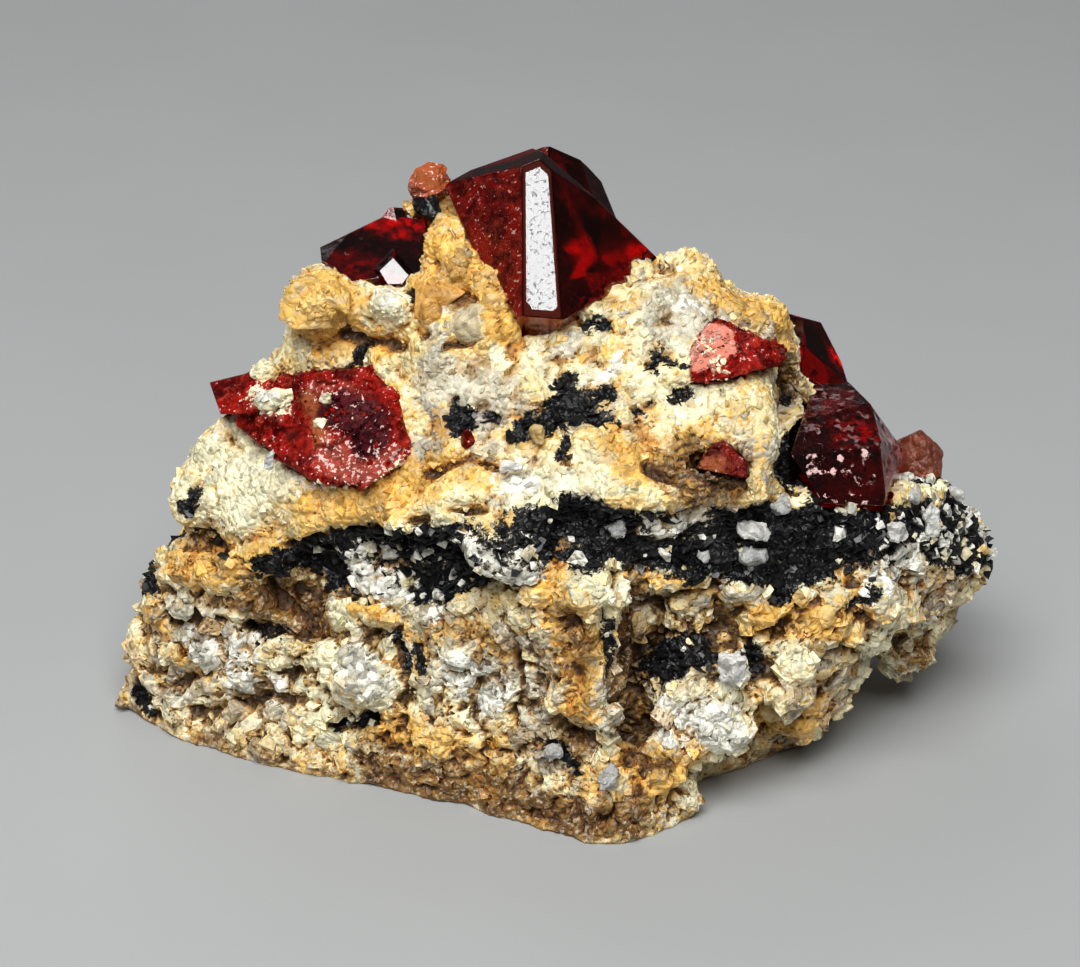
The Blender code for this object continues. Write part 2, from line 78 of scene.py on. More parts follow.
# Patches of each colour: a radius and the points that the patch runs through.
PATCHES = {
    "ochre": [
        (1.6, [(-10.2, 1, 21), (-10, 1.2, 19.6)]),
        (0.9, [(-4.9, 3.2, 23), (-4.6, 1.9, 22.4), (-3.4, 0.8, 20.8), (-2, 0.4, 19.4)]),
        (1.0, [(-5.8, 0.8, 21.6), (-4.4, 0.2, 21)]),
        (0.8, [(-7.6, -0.2, 19.1)]),
        (1.2, [(-5.2, 2, 22.8), (-4.3, 1, 22.3), (-3.3, 0, 21.6), (-2.5, -1.2, 20.4)]),
        (1.4, [(-5.8, 5.6, 23), (-4.2, 4, 21.9)]),
        (0.9, [(0.5, -9.1, 11), (0.6, -9, 9.2)]),
        (1.4, [(3.4, -8.2, 3.4), (4.7, -9, 2.4), (5.4, -8.6, 3.4)]),
        (1.3, [(3.4, -6.3, 16.4), (5.4, -5.6, 16.5), (7.6, -4.7, 15.3)]),
        (0.5, [(7.3, -4.2, 17.8), (7.9, -4.4, 16.6)]),
        (0.7, [(-5.2, -2.9, 16.9)]),
        (0.9, [(4.6, -6.5, 15.8), (5.8, -6.9, 15.3), (7.4, -6.7, 15)]),
        (1.3, [(-11, -3.2, 12.6), (-9, -3.7, 13.3), (-6.9, -4.4, 14.1),
               (-5.4, -4.6, 15.2)]),
        (0.8, [(-4, -5.4, 15.2), (-3, -5.6, 15.4)]),
        (0.9, [(2.3, -2.4, 19.4)]),
        (1.0, [(2.4, -5.4, 16.9), (3.4, -6, 16.4), (4.4, -6.2, 16.2)]),
        (1.1, [(6.8, 0.8, 21.3), (8.5, 1, 20.5), (10.1, 1.9, 18.7)]),
        (1.0, [(-17.2, 0.9, 8.1), (-14.7, -1.3, 9.2), (-12.4, -2.3, 10)]),
        (0.7, [(-18.9, 0.3, 6.4), (-18.6, 0, 4.4), (-17, -0.4, 3.6)]),
        (0.7, [(-8.6, -3.9, 7.9), (-7.2, -4.6, 8)]),
        (0.6, [(-6.4, -5.7, 6.2), (-6, -5.7, 7.6), (-5, -6, 8.4), (-3.4, -6.6, 8.4),
               (-2.4, -7.2, 7.8)]),
        (1.1, [(-8.4, -5.2, 2.9), (-5.6, -6.6, 2.9), (-3, -7.6, 2.6)]),
        (0.9, [(-1.4, -8, 11.6), (-0.4, -8.3, 12), (0.6, -8.8, 10), (0.9, -9.2, 7.8),
               (0.8, -9.4, 6)]),
        (0.7, [(3.6, -7, 11.2), (5.8, -6.8, 11)]),
        (1.2, [(8.8, -6, 8.8), (10.4, -5.6, 8.9), (12.6, -5.2, 8.2)]),
        (1.3, [(8.4, -5, 4.4), (9.8, -4.4, 2.8), (10.6, -4.6, 4)]),
        (1.1, [(3.2, -9, 3.6), (4.2, -8.8, 2.4), (2.5, -10, 1.2)]),
        (1.0, [(-0.3, -8.7, 10.6), (1.2, -9.1, 9.3)]),
        (1.0, [(3.6, -8.3, 3.4), (4.3, -8.7, 3.2)]),
    ],
    # Brown: stain, and painted shade where its patches lie in the recesses, under the ledges and
    # along the foot.
    "brown": [
        (1.05, [(5.2, -5.8, 16.4), (6.2, -6.4, 16), (6.8, -5.6, 15.8)]),
        (0.6, [(7.2, -5, 16.2), (7.6, -5.2, 16.4)]),
        (0.75, [(4.4, -6.4, 16), (5.8, -6.8, 15.5), (6.7, -6.9, 15.4), (7.5, -6.6, 15.2)]),
        (0.5, [(0.4, -8.9, 10.6), (1.2, -9.1, 9.3)]),
        (0.6, [(3.4, -8.2, 3.4), (4.3, -8.7, 3.1)]),
        (1.1, [(-13.8, -1.6, 7.4), (-12, -1.9, 7.3), (-10.8, -2.4, 7)]),
        (0.5, [(2.3, -9, 10), (2.4, -9, 6.6), (2.8, -7, 4)]),
        (0.7, [(1, -9.2, 4), (-1, -8.6, 3.6)]),
        (0.7, [(10.4, 2.6, 14.5), (10.2, 1.6, 17.4)]),
        (0.9, [(2.6, -6.4, 9.8), (2.6, -6.4, 6.8), (2.8, -7.4, 5)]),
        (1.2, [(-2, -8.3, 1.3), (-8, -5.2, 0.6), (1, -9.6, 0.8), (3, -9.4, 0.9)]),
        (0.8, [(15.2, -1, 3.6), (16.8, 0.4, 3.4)]),
        (0.8, [(-4.6, 0.2, 20.6)]),
    ],
    "mica": [
        (0.95, [(-0.3, -4.2, 17.6), (0.9, -4, 17.9)]),
        (0.5, [(0.2, -3, 18.8), (0.2, -4, 17.8)]),
        (0.5, [(1.9, -3.6, 18.4), (0.6, -4, 17.9)]),
        (0.4, [(2.1, -4.6, 17.5), (0.8, -4.6, 17.6)]),
        (0.5, [(-1.8, -4.3, 17), (0, -4.4, 17.4)]),
        (0.25, [(0, -5.6, 16.2), (0.1, -4.8, 17.2)]),
        (0.65, [(-4.7, -3.3, 17.4), (-4.2, -3.5, 17)]),
        (0.22, [(-3.6, -3.4, 17.3), (-3, -3.6, 17.2)]),
        (0.35, [(4.2, -2.2, 19.7), (4.7, -2.6, 19.1)]),
        (0.22, [(3.8, -2.7, 19.2), (4.6, -2.5, 19.4)]),
        (0.25, [(4.9, -3.7, 18.3), (5.6, -3.8, 18.3)]),
        (0.2, [(3.3, -4.2, 17.6), (4, -3.9, 18)]),
        (0.3, [(-9.8, 0.5, 17.7), (-8.8, 0.7, 18.3)]),
        (0.3, [(0.7, -1, 20.6), (1.9, -1.2, 20.5)]),
        (0.25, [(-6.5, 0.4, 21.2), (-6.2, 0.2, 20.9)]),
        (0.35, [(-17.1, -0.1, 11.3), (-16.7, -0.2, 10.6), (-16.3, -0.2, 12)]),
        (0.6, [(-19.3, 2.4, 7.4), (-18.8, 1.2, 6.6)]),
        (0.5, [(-19.7, 0.7, 1.6), (-19.2, 0.5, 0.8)]),
        (1.0, [(4.4, -6.4, 6.6), (5.4, -6.8, 7.4), (6.4, -7, 8.1)]),
        (0.4, [(8.2, -6.4, 7.6), (8.6, -6.2, 6.4)]),
        (0.5, [(2.2, -9, 9.8), (2.3, -9, 8)]),
        (0.35, [(-10, -4.4, 2.4), (-8.6, -5, 3.2)]),
        (0.3, [(-14.1, -1.5, 5.8), (-12.8, -2.2, 6)]),
        (0.3, [(-7.2, -5, 7.4), (-6.8, -5.2, 6.2)]),
        (0.5, [(9.4, -5.7, 10.8), (9.5, -5.8, 9.8)]),
        (0.35, [(12.6, -5.3, 9), (13.5, -5.1, 9.6)]),
        (0.35, [(-6.3, -5.7, 6.9), (-6.1, -5.9, 6.1)]),
        (0.3, [(-3.6, -6.9, 6.4), (-3.2, -7, 5.4)]),
        (0.3, [(-8, -4.8, 3.6), (-6.6, -5.6, 3.5)]),
        (0.3, [(-0.8, -8.4, 3.8), (0.6, -9, 3.2)]),
        (0.2, [(6.3, -4.3, 13.6), (9.9, -3.4, 13.9)]),
        (0.35, [(10.2, 1, 16.4), (10.4, 1.6, 15.2)]),
        (0.8, [(17.6, -0.4, 12.2), (19, 1.4, 11)]),
    ],
    "grey": [
        (1.5, [(4.8, -0.8, 20.8), (6.4, 0, 20.8)]),
        (1.3, [(-5.2, -2.2, 18.3), (-3.9, -2.8, 18), (-2.6, -3.3, 17.8)]),
        (0.7, [(-17.4, -0.3, 6.6), (-15, -0.8, 6.4), (-13.6, -1.2, 6.2)]),
        (1.2, [(-17.2, -0.4, 4.6), (-14.8, -1.4, 4.4)]),
        (0.9, [(15.2, -2.3, 8.8), (16, -1.4, 8)]),
        (0.9, [(-1.4, -8, 6.4), (-1.2, -8.2, 5)]),
    ],
    "pale": [
        (1.0, [(-7.5, 0, 21)]),
        (1.6, [(-12.9, 0, 16.3), (-12.2, -0.2, 16.6), (-10.3, -1.6, 16.2)]),
        (2.2, [(-16, 0.4, 12.4), (-14, -1, 12.6), (-13, -1.4, 14)]),
        (1.2, [(-14, 1.4, 17.4), (-12.6, 1.8, 18.8)]),
        (1.0, [(-11.4, -3, 14)]),
        (0.8, [(6, -3, 18.8), (6.8, -3.3, 18)]),
        (1.0, [(3.8, -3.4, 18.4), (5.6, -4.3, 17.4), (7.4, -4.5, 17.2)]),
        (1.6, [(9.4, -6, 7.2), (10.6, -6.2, 7.6)]),
        (1.4, [(-3, -6, 15.6), (-0.4, -6.4, 15.6), (1, -6.8, 16)]),
        (2.0, [(-9, -4.6, 6), (-7.4, -5.2, 5)]),
        (1.4, [(-4.4, -6.6, 6.4), (-3.6, -7, 5.6)]),
        (0.9, [(7.5, -7.6, 6.6), (7.6, -7.6, 7.2)]),
        (1.7, [(4.8, -7.8, 4.8), (6.6, -7.9, 4.6), (7.2, -7.6, 6)]),
        (1.0, [(-9.7, -4.3, 3.4), (-10.6, -4.2, 2.6)]),
        (0.9, [(14, -4.6, 10), (15.4, -2.6, 9.6)]),
    ],
    "spar": [
        (0.85, [(-8.9, -2.8, 10.2), (-8.4, -3, 9.3), (-7.2, -3.9, 9.2)]),
        (0.45, [(-10.1, -1.8, 9.9), (-8.6, -2.8, 9.6), (-6.6, -4.3, 8.9),
                (-5.4, -5.2, 8.7)]),
        (0.4, [(-6.8, -3.8, 10.9), (-5.6, -4.6, 10.8)]),
        (1.15, [(-3.8, -7.2, 12.2), (-2.2, -7.8, 12.4)]),
        (1.2, [(-4.2, -6.6, 6.2), (-3.6, -7, 5.6)]),
        (0.8, [(-9, -4.6, 6), (-8, -5, 5)]),
        (0.8, [(7.5, -7.6, 6.6)]),
        (1.3, [(4.8, -7.8, 4.8), (6.6, -7.9, 4.6)]),
        (1.0, [(-16.4, -0.6, 4.8), (-13.6, -1.4, 4.6)]),
        (0.8, [(-14.6, -1.9, 3.2), (-12.4, -2.8, 3.6)]),
        (0.8, [(14.2, -4.4, 9.8), (15.6, -2.4, 9.4)]),
        (0.35, [(5.2, -0.5, 21.1), (5.6, -0.4, 20.8)]),
        (0.7, [(-7.5, 0, 21.1)]),
        (0.6, [(-12.9, 0, 16.4)]),
        (0.7, [(-11.6, -3, 13.8), (-10.8, -3.3, 13.4)]),
        (0.7, [(1.2, -3.2, 19.2), (2.6, -3, 19.4)]),
        (1.0, [(4, -6.2, 13.9), (5.6, -6, 14)]),
        (0.6, [(-2.6, -5.9, 15.6), (-1.4, -6.2, 15.4)]),
    ],
}

# Where the broken crystals differ inside: kind, then radius and points.
VEILS = {
    "dark": [
        (1.0, [(-9.7, -1.4, 16.5), (-8.3, -2.1, 16.3), (-8.2, -2.9, 15.7)]),
    ],
    "salmon": [
        (1.1, [(5, -2.6, 19.6), (6.4, -2.1, 20)]),
    ],
    "orange": [
        (0.45, [(-11, -0.5, 16.7), (-10.5, -1.4, 16.2), (-10.4, -2.4, 15.6)]),
        (0.55, [(6.2, -6.3, 16.1), (6.6, -6.3, 15.9)]),
        (1.8, [(-6, 6, 24.8), (-5.2, 6.4, 25)]),
    ],
    "milky": [
        (0.45, [(-6.7, 5.4, 24.2), (-6.2, 5.3, 23.8), (-5.5, 5.3, 23.7)]),
        (0.9, [(-9.8, -3, 15), (-8.6, -3.8, 14.8), (-7.2, -4.1, 15.1)]),
        (0.6, [(-13.3, 0.4, 16.4), (-12.3, -0.3, 16.1)]),
        (0.45, [(-10.8, -0.3, 17), (-8.4, -0.9, 17)]),
        (0.5, [(5.2, -2.7, 19.5), (6, -2, 20.2)]),
    ],
}

# Clefts cut into the rock: half width, depth and the points that each runs through.
CLEFTS = [
    (0.55, 1.0, [(2.4, -8, 11.6), (2.1, -9.2, 10.3), (2.2, -9.2, 8.5), (2.5, -9.3, 6.8),
                 (2.9, -6.7, 3.7)]),
    (0.35, 0.6, [(3.6, -5.9, 9.5), (5.3, -6.2, 10.1), (6.5, -6.1, 10.3)]),
    (0.35, 0.7, [(4.1, -6.1, 9.5), (3.9, -5.9, 8.1), (3.5, -5.8, 6.8), (3.2, -6.1, 5.3)]),
    (0.4, 0.7, [(8.1, -6.4, 7.9), (8.5, -6.3, 6.3), (8.8, -4.7, 3.4)]),
    (0.3, 0.5, [(8.7, -6.1, 8), (9.7, -5.8, 8.5)]),
    (0.5, 0.8, [(0, -8.7, 4.4), (1.2, -9.3, 4.2), (2, -9.6, 4)]),
    (0.5, 0.6, [(13.2, -4.6, 5.5), (15.5, -0.2, 4.1)]),
    (0.35, 0.5, [(-11.9, -2.4, 10.5), (-9.1, -3.8, 11.8), (-6, -5.9, 13.5),
                 (-3.4, -6.5, 14.4)]),
    (0.9, 0.9, [(-13.2, -2.3, 8.2), (-11.8, -1.8, 7.4), (-11, -2.4, 6.8)]),
    (0.35, 0.6, [(-14.1, -1.5, 5.8), (-12.4, -2.3, 6.1), (-10.6, -3.3, 6.4),
                 (-7.2, -5, 7.4)]),
    (0.3, 0.5, [(-17.9, 0.4, 7.1), (-16.1, -0.1, 5.9), (-14.1, -1.5, 5.8)]),
    (0.4, 0.6, [(-10, -4.2, 2.2), (-9.1, -4.7, 2.9), (-8.3, -5.1, 3.4)]),
    (0.28, 0.45, [(-18.3, -0.2, 2.1), (-16.3, -1, 3.2), (-14.4, -2.2, 4.2),
                  (-11.6, -3, 4.4)]),
    (0.28, 0.4, [(-16.6, -1.3, 1.3), (-14.5, -1.9, 2.4), (-11.6, -3.3, 3.2)]),
    (0.5, 0.9, [(9.9, 0.7, 18.7), (10.2, 1.2, 16.3), (10.5, 3.1, 13.5), (10.9, 2.5, 11.8)]),
    (0.4, 0.5, [(3.9, -6.5, 16), (5.8, -7.2, 15.5), (7.5, -6.4, 14.7)]),
    (0.7, 0.4, [(5.4, -5.9, 16.4), (6.8, -4.6, 15.1)]),
    (0.3, 0.5, [(-6.1, -0.8, 20), (-4.7, -1.7, 19.7), (-3.9, -1.3, 20)]),
    (0.3, 0.5, [(-9.4, 1.2, 19), (-8.2, 0.5, 19), (-7, -0.4, 19.2)]),
    (0.3, 0.4, [(-5.6, -4.3, 15), (-3.9, -4.7, 15.9), (-2.6, -5.3, 15.5)]),
    (0.3, 0.5, [(-7.2, -5, 6.6), (-6.8, -5.6, 5), (-7, -5.9, 3.6)]),
    (0.3, 0.5, [(-2, -7.6, 8.5), (-1.7, -7.7, 6.6), (-2.1, -7.9, 4.8)]),
    (0.25, 0.4, [(-5.7, -6.7, 4.1), (-3.9, -7.6, 3.8), (-1.8, -8, 4.3)]),
    (0.35, 0.5, [(3.5, -7.1, 3.4), (3.8, -9, 2.9)]),
]

# Low swellings of the rock: radius, height and points.
SWELLINGS = [
    (0.9, 0.4, [(-8.9, -2.8, 10.2), (-8.4, -3, 9.3), (-7.2, -3.9, 9.2)]),
    (1.2, 0.4, [(-3.8, -7.2, 12.2), (-2.2, -7.8, 12.4)]),
    (0.9, 0.45, [(-0.7, -8.2, 11.5), (0.4, -8.6, 11.4)]),
    (0.7, 0.5, [(1.2, -9.1, 9.3), (1.6, -9.5, 7.1)]),
    (0.7, 0.5, [(3.4, -5.8, 8.3)]),
    (0.8, 0.5, [(8.5, -5.8, 8.9)]),
    (0.8, 0.45, [(11.2, -5.5, 8.4), (12.6, -5.4, 7.3)]),
    (0.9, 0.5, [(9.5, -6.7, 5.1), (11.1, -4.3, 2.7)]),
    (0.5, 0.5, [(-10.2, -2.6, 7.4), (-7.9, -4.4, 8)]),
    (0.9, 0.6, [(-17.6, 0.7, 7.7), (-15.2, -0.8, 8.4), (-13, -2.2, 9.6)]),
    (0.5, 0.4, [(-17.4, -0.1, 6.6), (-15.8, -0.2, 5.9), (-14.4, -1.3, 6.1)]),
    (1.3, 0.25, [(-9.7, -4.2, 5.2), (-8.8, -4.9, 4.1)]),
    (0.9, 0.4, [(-18.1, 0.5, 4), (-16.3, -0.6, 4.4)]),
    (1.0, 0.5, [(6.7, -8, 4.8), (7.6, -7.7, 3.9)]),
    (0.6, 0.45, [(7.5, -7.6, 7)]),
    (0.6, 0.4, [(4.2, -6.5, 11), (6, -6.3, 10.7)]),
    (0.9, 0.5, [(4.3, -8.5, 3.6), (4.5, -8.9, 2.7)]),
    (0.9, 0.4, [(13.9, -5, 9.1), (15.1, -2.3, 7.2)]),
    (0.9, 0.4, [(-7.5, 0.1, 21.1)]),
]

# Lumps of rock that lap over the crystals' lower edges: centre and radii.
OUTCROPS = [
    ((-5.2, 2.0, 22.9), (0.7, 0.8, 0.9)),
    ((-4.3, 1.2, 22.3), (0.9, 0.9, 0.9)),
    ((-3.3, 0.6, 21.6), (0.9, 0.9, 0.9)),
    ((-2.7, -0.3, 20.9), (0.8, 0.8, 0.9)),
    ((-2.3, -0.7, 20.0), (0.7, 0.8, 1.0)),
    ((1.5, -0.5, 20.6), (0.8, 0.7, 0.7)),
    ((2.5, 0.5, 21.1), (0.8, 0.8, 0.6)),
    ((3.5, 1.7, 21.7), (0.8, 0.8, 0.7)),
    ((-13.0, 1.4, 17.1), (0.7, 0.7, 0.6)),
    ((-12.9, 0.1, 16.3), (0.7, 0.5, 0.5)),
    ((-12.2, -0.1, 16.6), (0.6, 0.4, 0.4)),
    ((-10.5, -1.7, 16.0), (0.35, 0.3, 0.35)),
    ((-10.2, -0.9, 16.8), (0.35, 0.3, 0.35)),
]

# Crumbs on the broken crystals: kind, how many on a square millimetre, radius, points.
CRUSTS = [
    ("pale", 34, 0.5, [(-13.4, 0.5, 16.4), (-12.1, -0.2, 16)]),
    ("pale", 5, 0.35, [(-11.2, -1.4, 15.2), (-9.8, -2.6, 14.8)]),
    ("pale", 14, 0.35, [(-6.7, -4, 15.3), (-7.6, -4.4, 14.6)]),
    ("pale", 9, 0.35, [(-10.6, -3.4, 14.2), (-9.4, -3.9, 14.1)]),
    ("salmon", 22, 1.2, [(5.4, -2, 19.9), (6.3, -2.4, 19.6)]),
    ("pale", 20, 0.35, [(6.8, -3.3, 19.1), (6, -1.6, 20)]),
]

# Single larger grains: kind, centre, radii.
LARGE_GRAINS = [
    ("quartz", (9.4, -5.0, 13.6), (0.62, 0.6, 0.6)),
    ("quartz", (2.4, -7.0, 13.5), (0.5, 0.4, 0.5)),
    ("quartz", (8.2, -5.8, 11.7), (0.7, 0.5, 0.5)),
    ("quartz", (6.0, -6.6, 12.0), (0.35, 0.3, 0.35)),
    ("quartz", (2.1, -9.9, 3.3), (0.6, 0.6, 0.65)),
    ("quartz", (-0.4, -8.6, 3.5), (0.55, 0.5, 0.45)),
    ("spar", (8.2, -5.8, 12.8), (0.85, 0.6, 0.45)),
    ("spar", (14.7, -3.2, 11.5), (0.65, 0.6, 0.6)),
    ("spar", (16.4, -1.3, 11.2), (0.5, 0.5, 0.9)),
    ("spar", (15.6, -1.4, 12.4), (0.45, 0.5, 0.6)),
    ("spar", (17.7, 0.2, 11.7), (0.35, 0.4, 0.35)),
    ("spar", (7.3, -7.8, 7.3), (0.75, 0.5, 0.75)),
    ("spar", (-2.2, -5.9, 15.9), (0.7, 0.4, 0.3)),
    ("spar", (-12.6, -2.9, 14.8), (0.3, 0.3, 0.5)),
    ("beige", (-3.6, -0.9, 20.1), (1.4, 0.9, 1.3)),
    ("gold", (-5.2, 0.2, 21.2), (1.3, 0.9, 0.9)),
    ("gold", (-5.6, -0.3, 20.5), (0.7, 0.6, 1.0)),
    ("amber", (-5.1, 4.5, 22.8), (0.7, 0.8, 0.9)),
    ("amber", (-4.7, 2.2, 22.3), (1.2, 0.9, 1.3)),
    ("amber", (-3.5, 0.8, 21.6), (1.1, 0.9, 0.9)),
    ("amber", (-3.0, -0.4, 20.8), (0.9, 0.7, 1.2)),
    ("amber", (-10.8, 0.9, 20.6), (1.7, 0.9, 1.2)),
    ("amber", (-9.9, 0.5, 20.9), (0.9, 0.7, 0.8)),
    ("honey", (-1.0, -5.0, 17.0), (0.5, 0.4, 0.5)),
    ("honey", (10.9, -5.3, 7.2), (0.8, 0.6, 0.7)),
    ("honey", (12.2, -5.2, 7.9), (0.7, 0.5, 0.6)),
    ("honey", (9.4, -5.6, 3.9), (0.8, 0.6, 0.7)),
    ("honey", (3.4, -6.0, 8.4), (0.55, 0.5, 0.8)),
    ("broken_zircon", (-4.0, -4.0, 16.4), (0.45, 0.4, 0.5)),
]

# ----------------------------------------------------------------- settings


class SpecimenRock(bpy.types.PropertyGroup):
    """Relief and colours of the rock."""

    seed: IntProperty(
        name="Seed", description="Seed of the noise that bends patches and blocks",
        default=1, min=1,
    )
    grid: FloatProperty(
        name="Grid", description="Spacing of the rock's mesh",
        default=0.21 * MM, min=0.1 * MM, max=1 * MM, unit="LENGTH", precision=5,
    )
    clod: FloatProperty(
        name="Clods", description="Height of the rounded clods",
        default=0.22 * MM, max=1 * MM, unit="LENGTH", precision=5,
    )
    facet: FloatProperty(
        name="Facets", description="Height of the broken grains",
        default=0.34 * MM, max=1 * MM, unit="LENGTH", precision=5,
    )
    cream: FloatVectorProperty(
        name="Cream", description="Sugary feldspar and calcite",
        subtype="COLOR", default=(0.92, 0.77, 0.40), min=0, max=1,
    )
    pale: FloatVectorProperty(
        name="Pale", description="The whitest calcite",
        subtype="COLOR", default=(0.96, 0.91, 0.64), min=0, max=1,
    )
    ochre: FloatVectorProperty(
        name="Ochre", description="Iron stain",
        subtype="COLOR", default=(0.93, 0.54, 0.11), min=0, max=1,
    )
    # Brown is stain, and also the painted shade of the brown patches in the recesses.
    brown: FloatVectorProperty(
        name="Brown", description="Stain in the recesses",
        subtype="COLOR", default=(0.20, 0.10, 0.035), min=0, max=1,
    )
    grey: FloatVectorProperty(
        name="Grey", description="Translucent quartz and feldspar",
        subtype="COLOR", default=(0.60, 0.56, 0.45), min=0, max=1,
    )
    black: FloatVectorProperty(
        name="Black", description="Mica",
        subtype="COLOR", default=(0.009, 0.009, 0.010), min=0, max=1,
    )


class SpecimenGrains(bpy.types.PropertyGroup):
    """Loose-looking grains set in the rock's face."""

    seed: IntProperty(
        name="Seed", description="Seed of where the grains lie and of their sizes",
        default=7, min=0,
    )
    sugar: FloatProperty(
        name="Sugar grains", description="Grains on each square millimetre",
        default=4.2, min=0,
    )
    coarse: FloatProperty(
        name="Coarse grains", description="Lower grains on each square millimetre",
        default=2.4, min=0,
    )
    crumbs: FloatProperty(
        name="Crumbs", description="Share of pale crumbs in the mica", default=1.0, min=0,
    )
    flakes: FloatProperty(
        name="Mica flakes", description="Flakes on each square millimetre of mica",
        default=9.0, min=0,
    )


class SpecimenCrystals(bpy.types.PropertyGroup):
    """Finish of the zircon crystals."""

    edge: FloatProperty(
        name="Edge", description="Width of the worn edges",
        default=0.05 * MM, max=0.3 * MM, unit="LENGTH", precision=5,
    )
    refraction: FloatProperty(
        name="Refraction", description="Refractive index of zircon",
        default=1.95, min=1, max=2.5,
    )
    tint: FloatVectorProperty(
        name="Tint", description="Light that the zircon lets through",
        subtype="COLOR", default=(0.94, 0.16, 0.05), min=0, max=1,
    )
    depth: FloatProperty(
        name="Depth of colour", description="Absorption in the zircon, per metre",
        default=2200, min=0,
    )


class SpecimenStage(bpy.types.PropertyGroup):
    """Camera, lights and floor."""

    lens: FloatProperty(name="Lens", description="Focal length in mm", default=100)
    elevation: FloatProperty(
        name="Elevation", description="Height of the camera's line of sight",
        default=math.radians(25), subtype="ANGLE",
    )
    distance: FloatProperty(
        name="Distance", description="From the camera to its target",
        default=133.33 * MM, unit="LENGTH",
    )
    target: FloatVectorProperty(
        name="Target", description="Point that the camera looks at",
        default=(-0.889 * MM, 0, 12.345 * MM), subtype="XYZ", precision=5,
    )
    key: FloatProperty(name="Key", description="Power of the large softbox", default=1.55)
    fill: FloatProperty(name="Fill", description="Power of the panel behind", default=0.35)
    ambient: FloatProperty(name="Ambient", description="Strength of the room", default=0.1)
    floor: FloatVectorProperty(
        name="Floor", description="Colour of the floor",
        subtype="COLOR", default=(0.42, 0.43, 0.43), min=0, max=1,
    )


def settings(group):
    return getattr(bpy.context.scene, f"specimen_{group}")


# ------------------------------------------------------------------ small tools


def deselect():
    if bpy.context.mode != "OBJECT":
        bpy.ops.object.mode_set(mode="OBJECT")
    bpy.ops.object.select_all(action="DESELECT")


def take(obj):
    """Makes obj the only selected object."""
    deselect()
    obj.select_set(True)
    bpy.context.view_layer.objects.active = obj


def copy_of(node, name):
    """A copy of a CAD node's solid, its triangles merged."""
    obj = bpy.data.objects.new(name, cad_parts[node].data.copy())
    obj.data.name = name
    obj.data.materials.clear()
    bpy.context.scene.collection.objects.link(obj)
    take(obj)
    bpy.ops.object.mode_set(mode="EDIT")
    bpy.ops.mesh.select_all(action="SELECT")
    bpy.ops.mesh.remove_doubles(threshold=1e-6)
    bpy.ops.object.mode_set(mode="OBJECT")
    return obj


def apply_modifier(obj, kind, **values):
    take(obj)
    made = obj.modifiers.new(kind.title(), kind)
    for key, value in values.items():
        setattr(made, key, value)
    bpy.ops.object.modifier_apply(modifier=made.name)


def places_of(mesh):
    """The mesh's vertices as rows, in millimetres."""
    flat = np.empty(len(mesh.vertices) * 3, np.float32)
    mesh.vertices.foreach_get("co", flat)
    return flat.reshape(-1, 3).astype(float) / MM


def set_places(mesh, rows):
    mesh.vertices.foreach_set("co", (rows * MM).astype(np.float32).ravel())
    mesh.update()


def normals_of(mesh):
    flat = np.empty(len(mesh.vertices) * 3, np.float32)
    mesh.vertices.foreach_get("normal", flat)
    return flat.reshape(-1, 3).astype(float)


def set_mask(mesh, name, values):
    mask = mesh.attributes.get(name) or mesh.attributes.new(name, "FLOAT", "POINT")
    mask.data.foreach_set("value", np.asarray(values, np.float32))


def mesh_object(name, points, faces, finish):
    mesh = bpy.data.meshes.new(name)
    mesh.from_pydata((points * MM).tolist(), [], faces)
    mesh.materials.append(finish)
    obj = bpy.data.objects.new(name, mesh)
    bpy.context.scene.collection.objects.link(obj)
    return obj


def finished(obj, slot, *nodes):
    """The piece rides on the specimen and stands for its nodes."""
    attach(obj, BODY)
    if nodes:
        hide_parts(*nodes)


def smoothstep(low, high, value):
    t = np.clip((value - low) / (high - low), 0, 1)
    return t * t * (3 - 2 * t)


def direction(azimuth, elevation):
    """The unit vector at these angles, from +X towards +Y and up, in degrees."""
    a, e = math.radians(azimuth), math.radians(elevation)
    return Vector((math.cos(a) * math.cos(e), math.sin(a) * math.cos(e), math.sin(e)))


# ------------------------------------------------------------------ colour masks

# How softly each kind of patch ends, in millimetres.
SOFT = {"ochre": 1.2, "brown": 1.4, "grey": 1.0, "pale": 1.6, "mica": 0.7, "spar": 1.2}
BAND_SOFT = 0.9
VEIL_SOFT = 0.8

# The hidden back starts between these distances behind the middle.
BACK = (3, 6)
# The zone at the foot that turns ochre and darker brown ends between these heights.
FOOT_ZONE = (2.2, 0.2)


def wander(points, size, height):
    """The points, each moved by a smooth noise."""
    moved = [height * noise.noise_vector(Vector(p) / size) for p in points.tolist()]
    return points + np.array(moved)


def off_stroke(points, corners):
    """Distance of each point from a line through the corners."""
    corners = np.array(corners, float)
    if len(corners) == 1:
        return np.linalg.norm(points - corners[0], axis=1)
    best = np.full(len(points), 1e9)
    for start, end in zip(corners[:-1], corners[1:]):
        along = end - start
        t = np.clip((points - start) @ along / (along @ along), 0, 1)
        gap = np.linalg.norm(points - start - t[:, None] * along, axis=1)
        best = np.minimum(best, gap)
    return best


def stroke_mask(points, strokes, soft):
    """One half on the edge of the strokes, 1 well inside them, 0 well outside."""
    mask = np.zeros(len(points))
    for radius, corners in strokes:
        gap = off_stroke(points, corners)
        mask = np.maximum(mask, np.clip(0.5 + (radius - gap) / soft, 0, 1))
    return mask


def stroke_relief(points):
    """The clefts and swellings, as a height in millimetres at each point."""
    bent = wander(points, 1.3, 0.3)
    height = np.zeros(len(points))
    for half_width, depth, corners in CLEFTS:
        gap = off_stroke(bent, corners)
        height -= depth * smoothstep(1.6 * half_width, 0, gap)
    for radius, rise, corners in SWELLINGS:
        gap = off_stroke(bent, corners)
        height += rise * smoothstep(1.25 * radius, 0.55 * radius, gap)
    return height


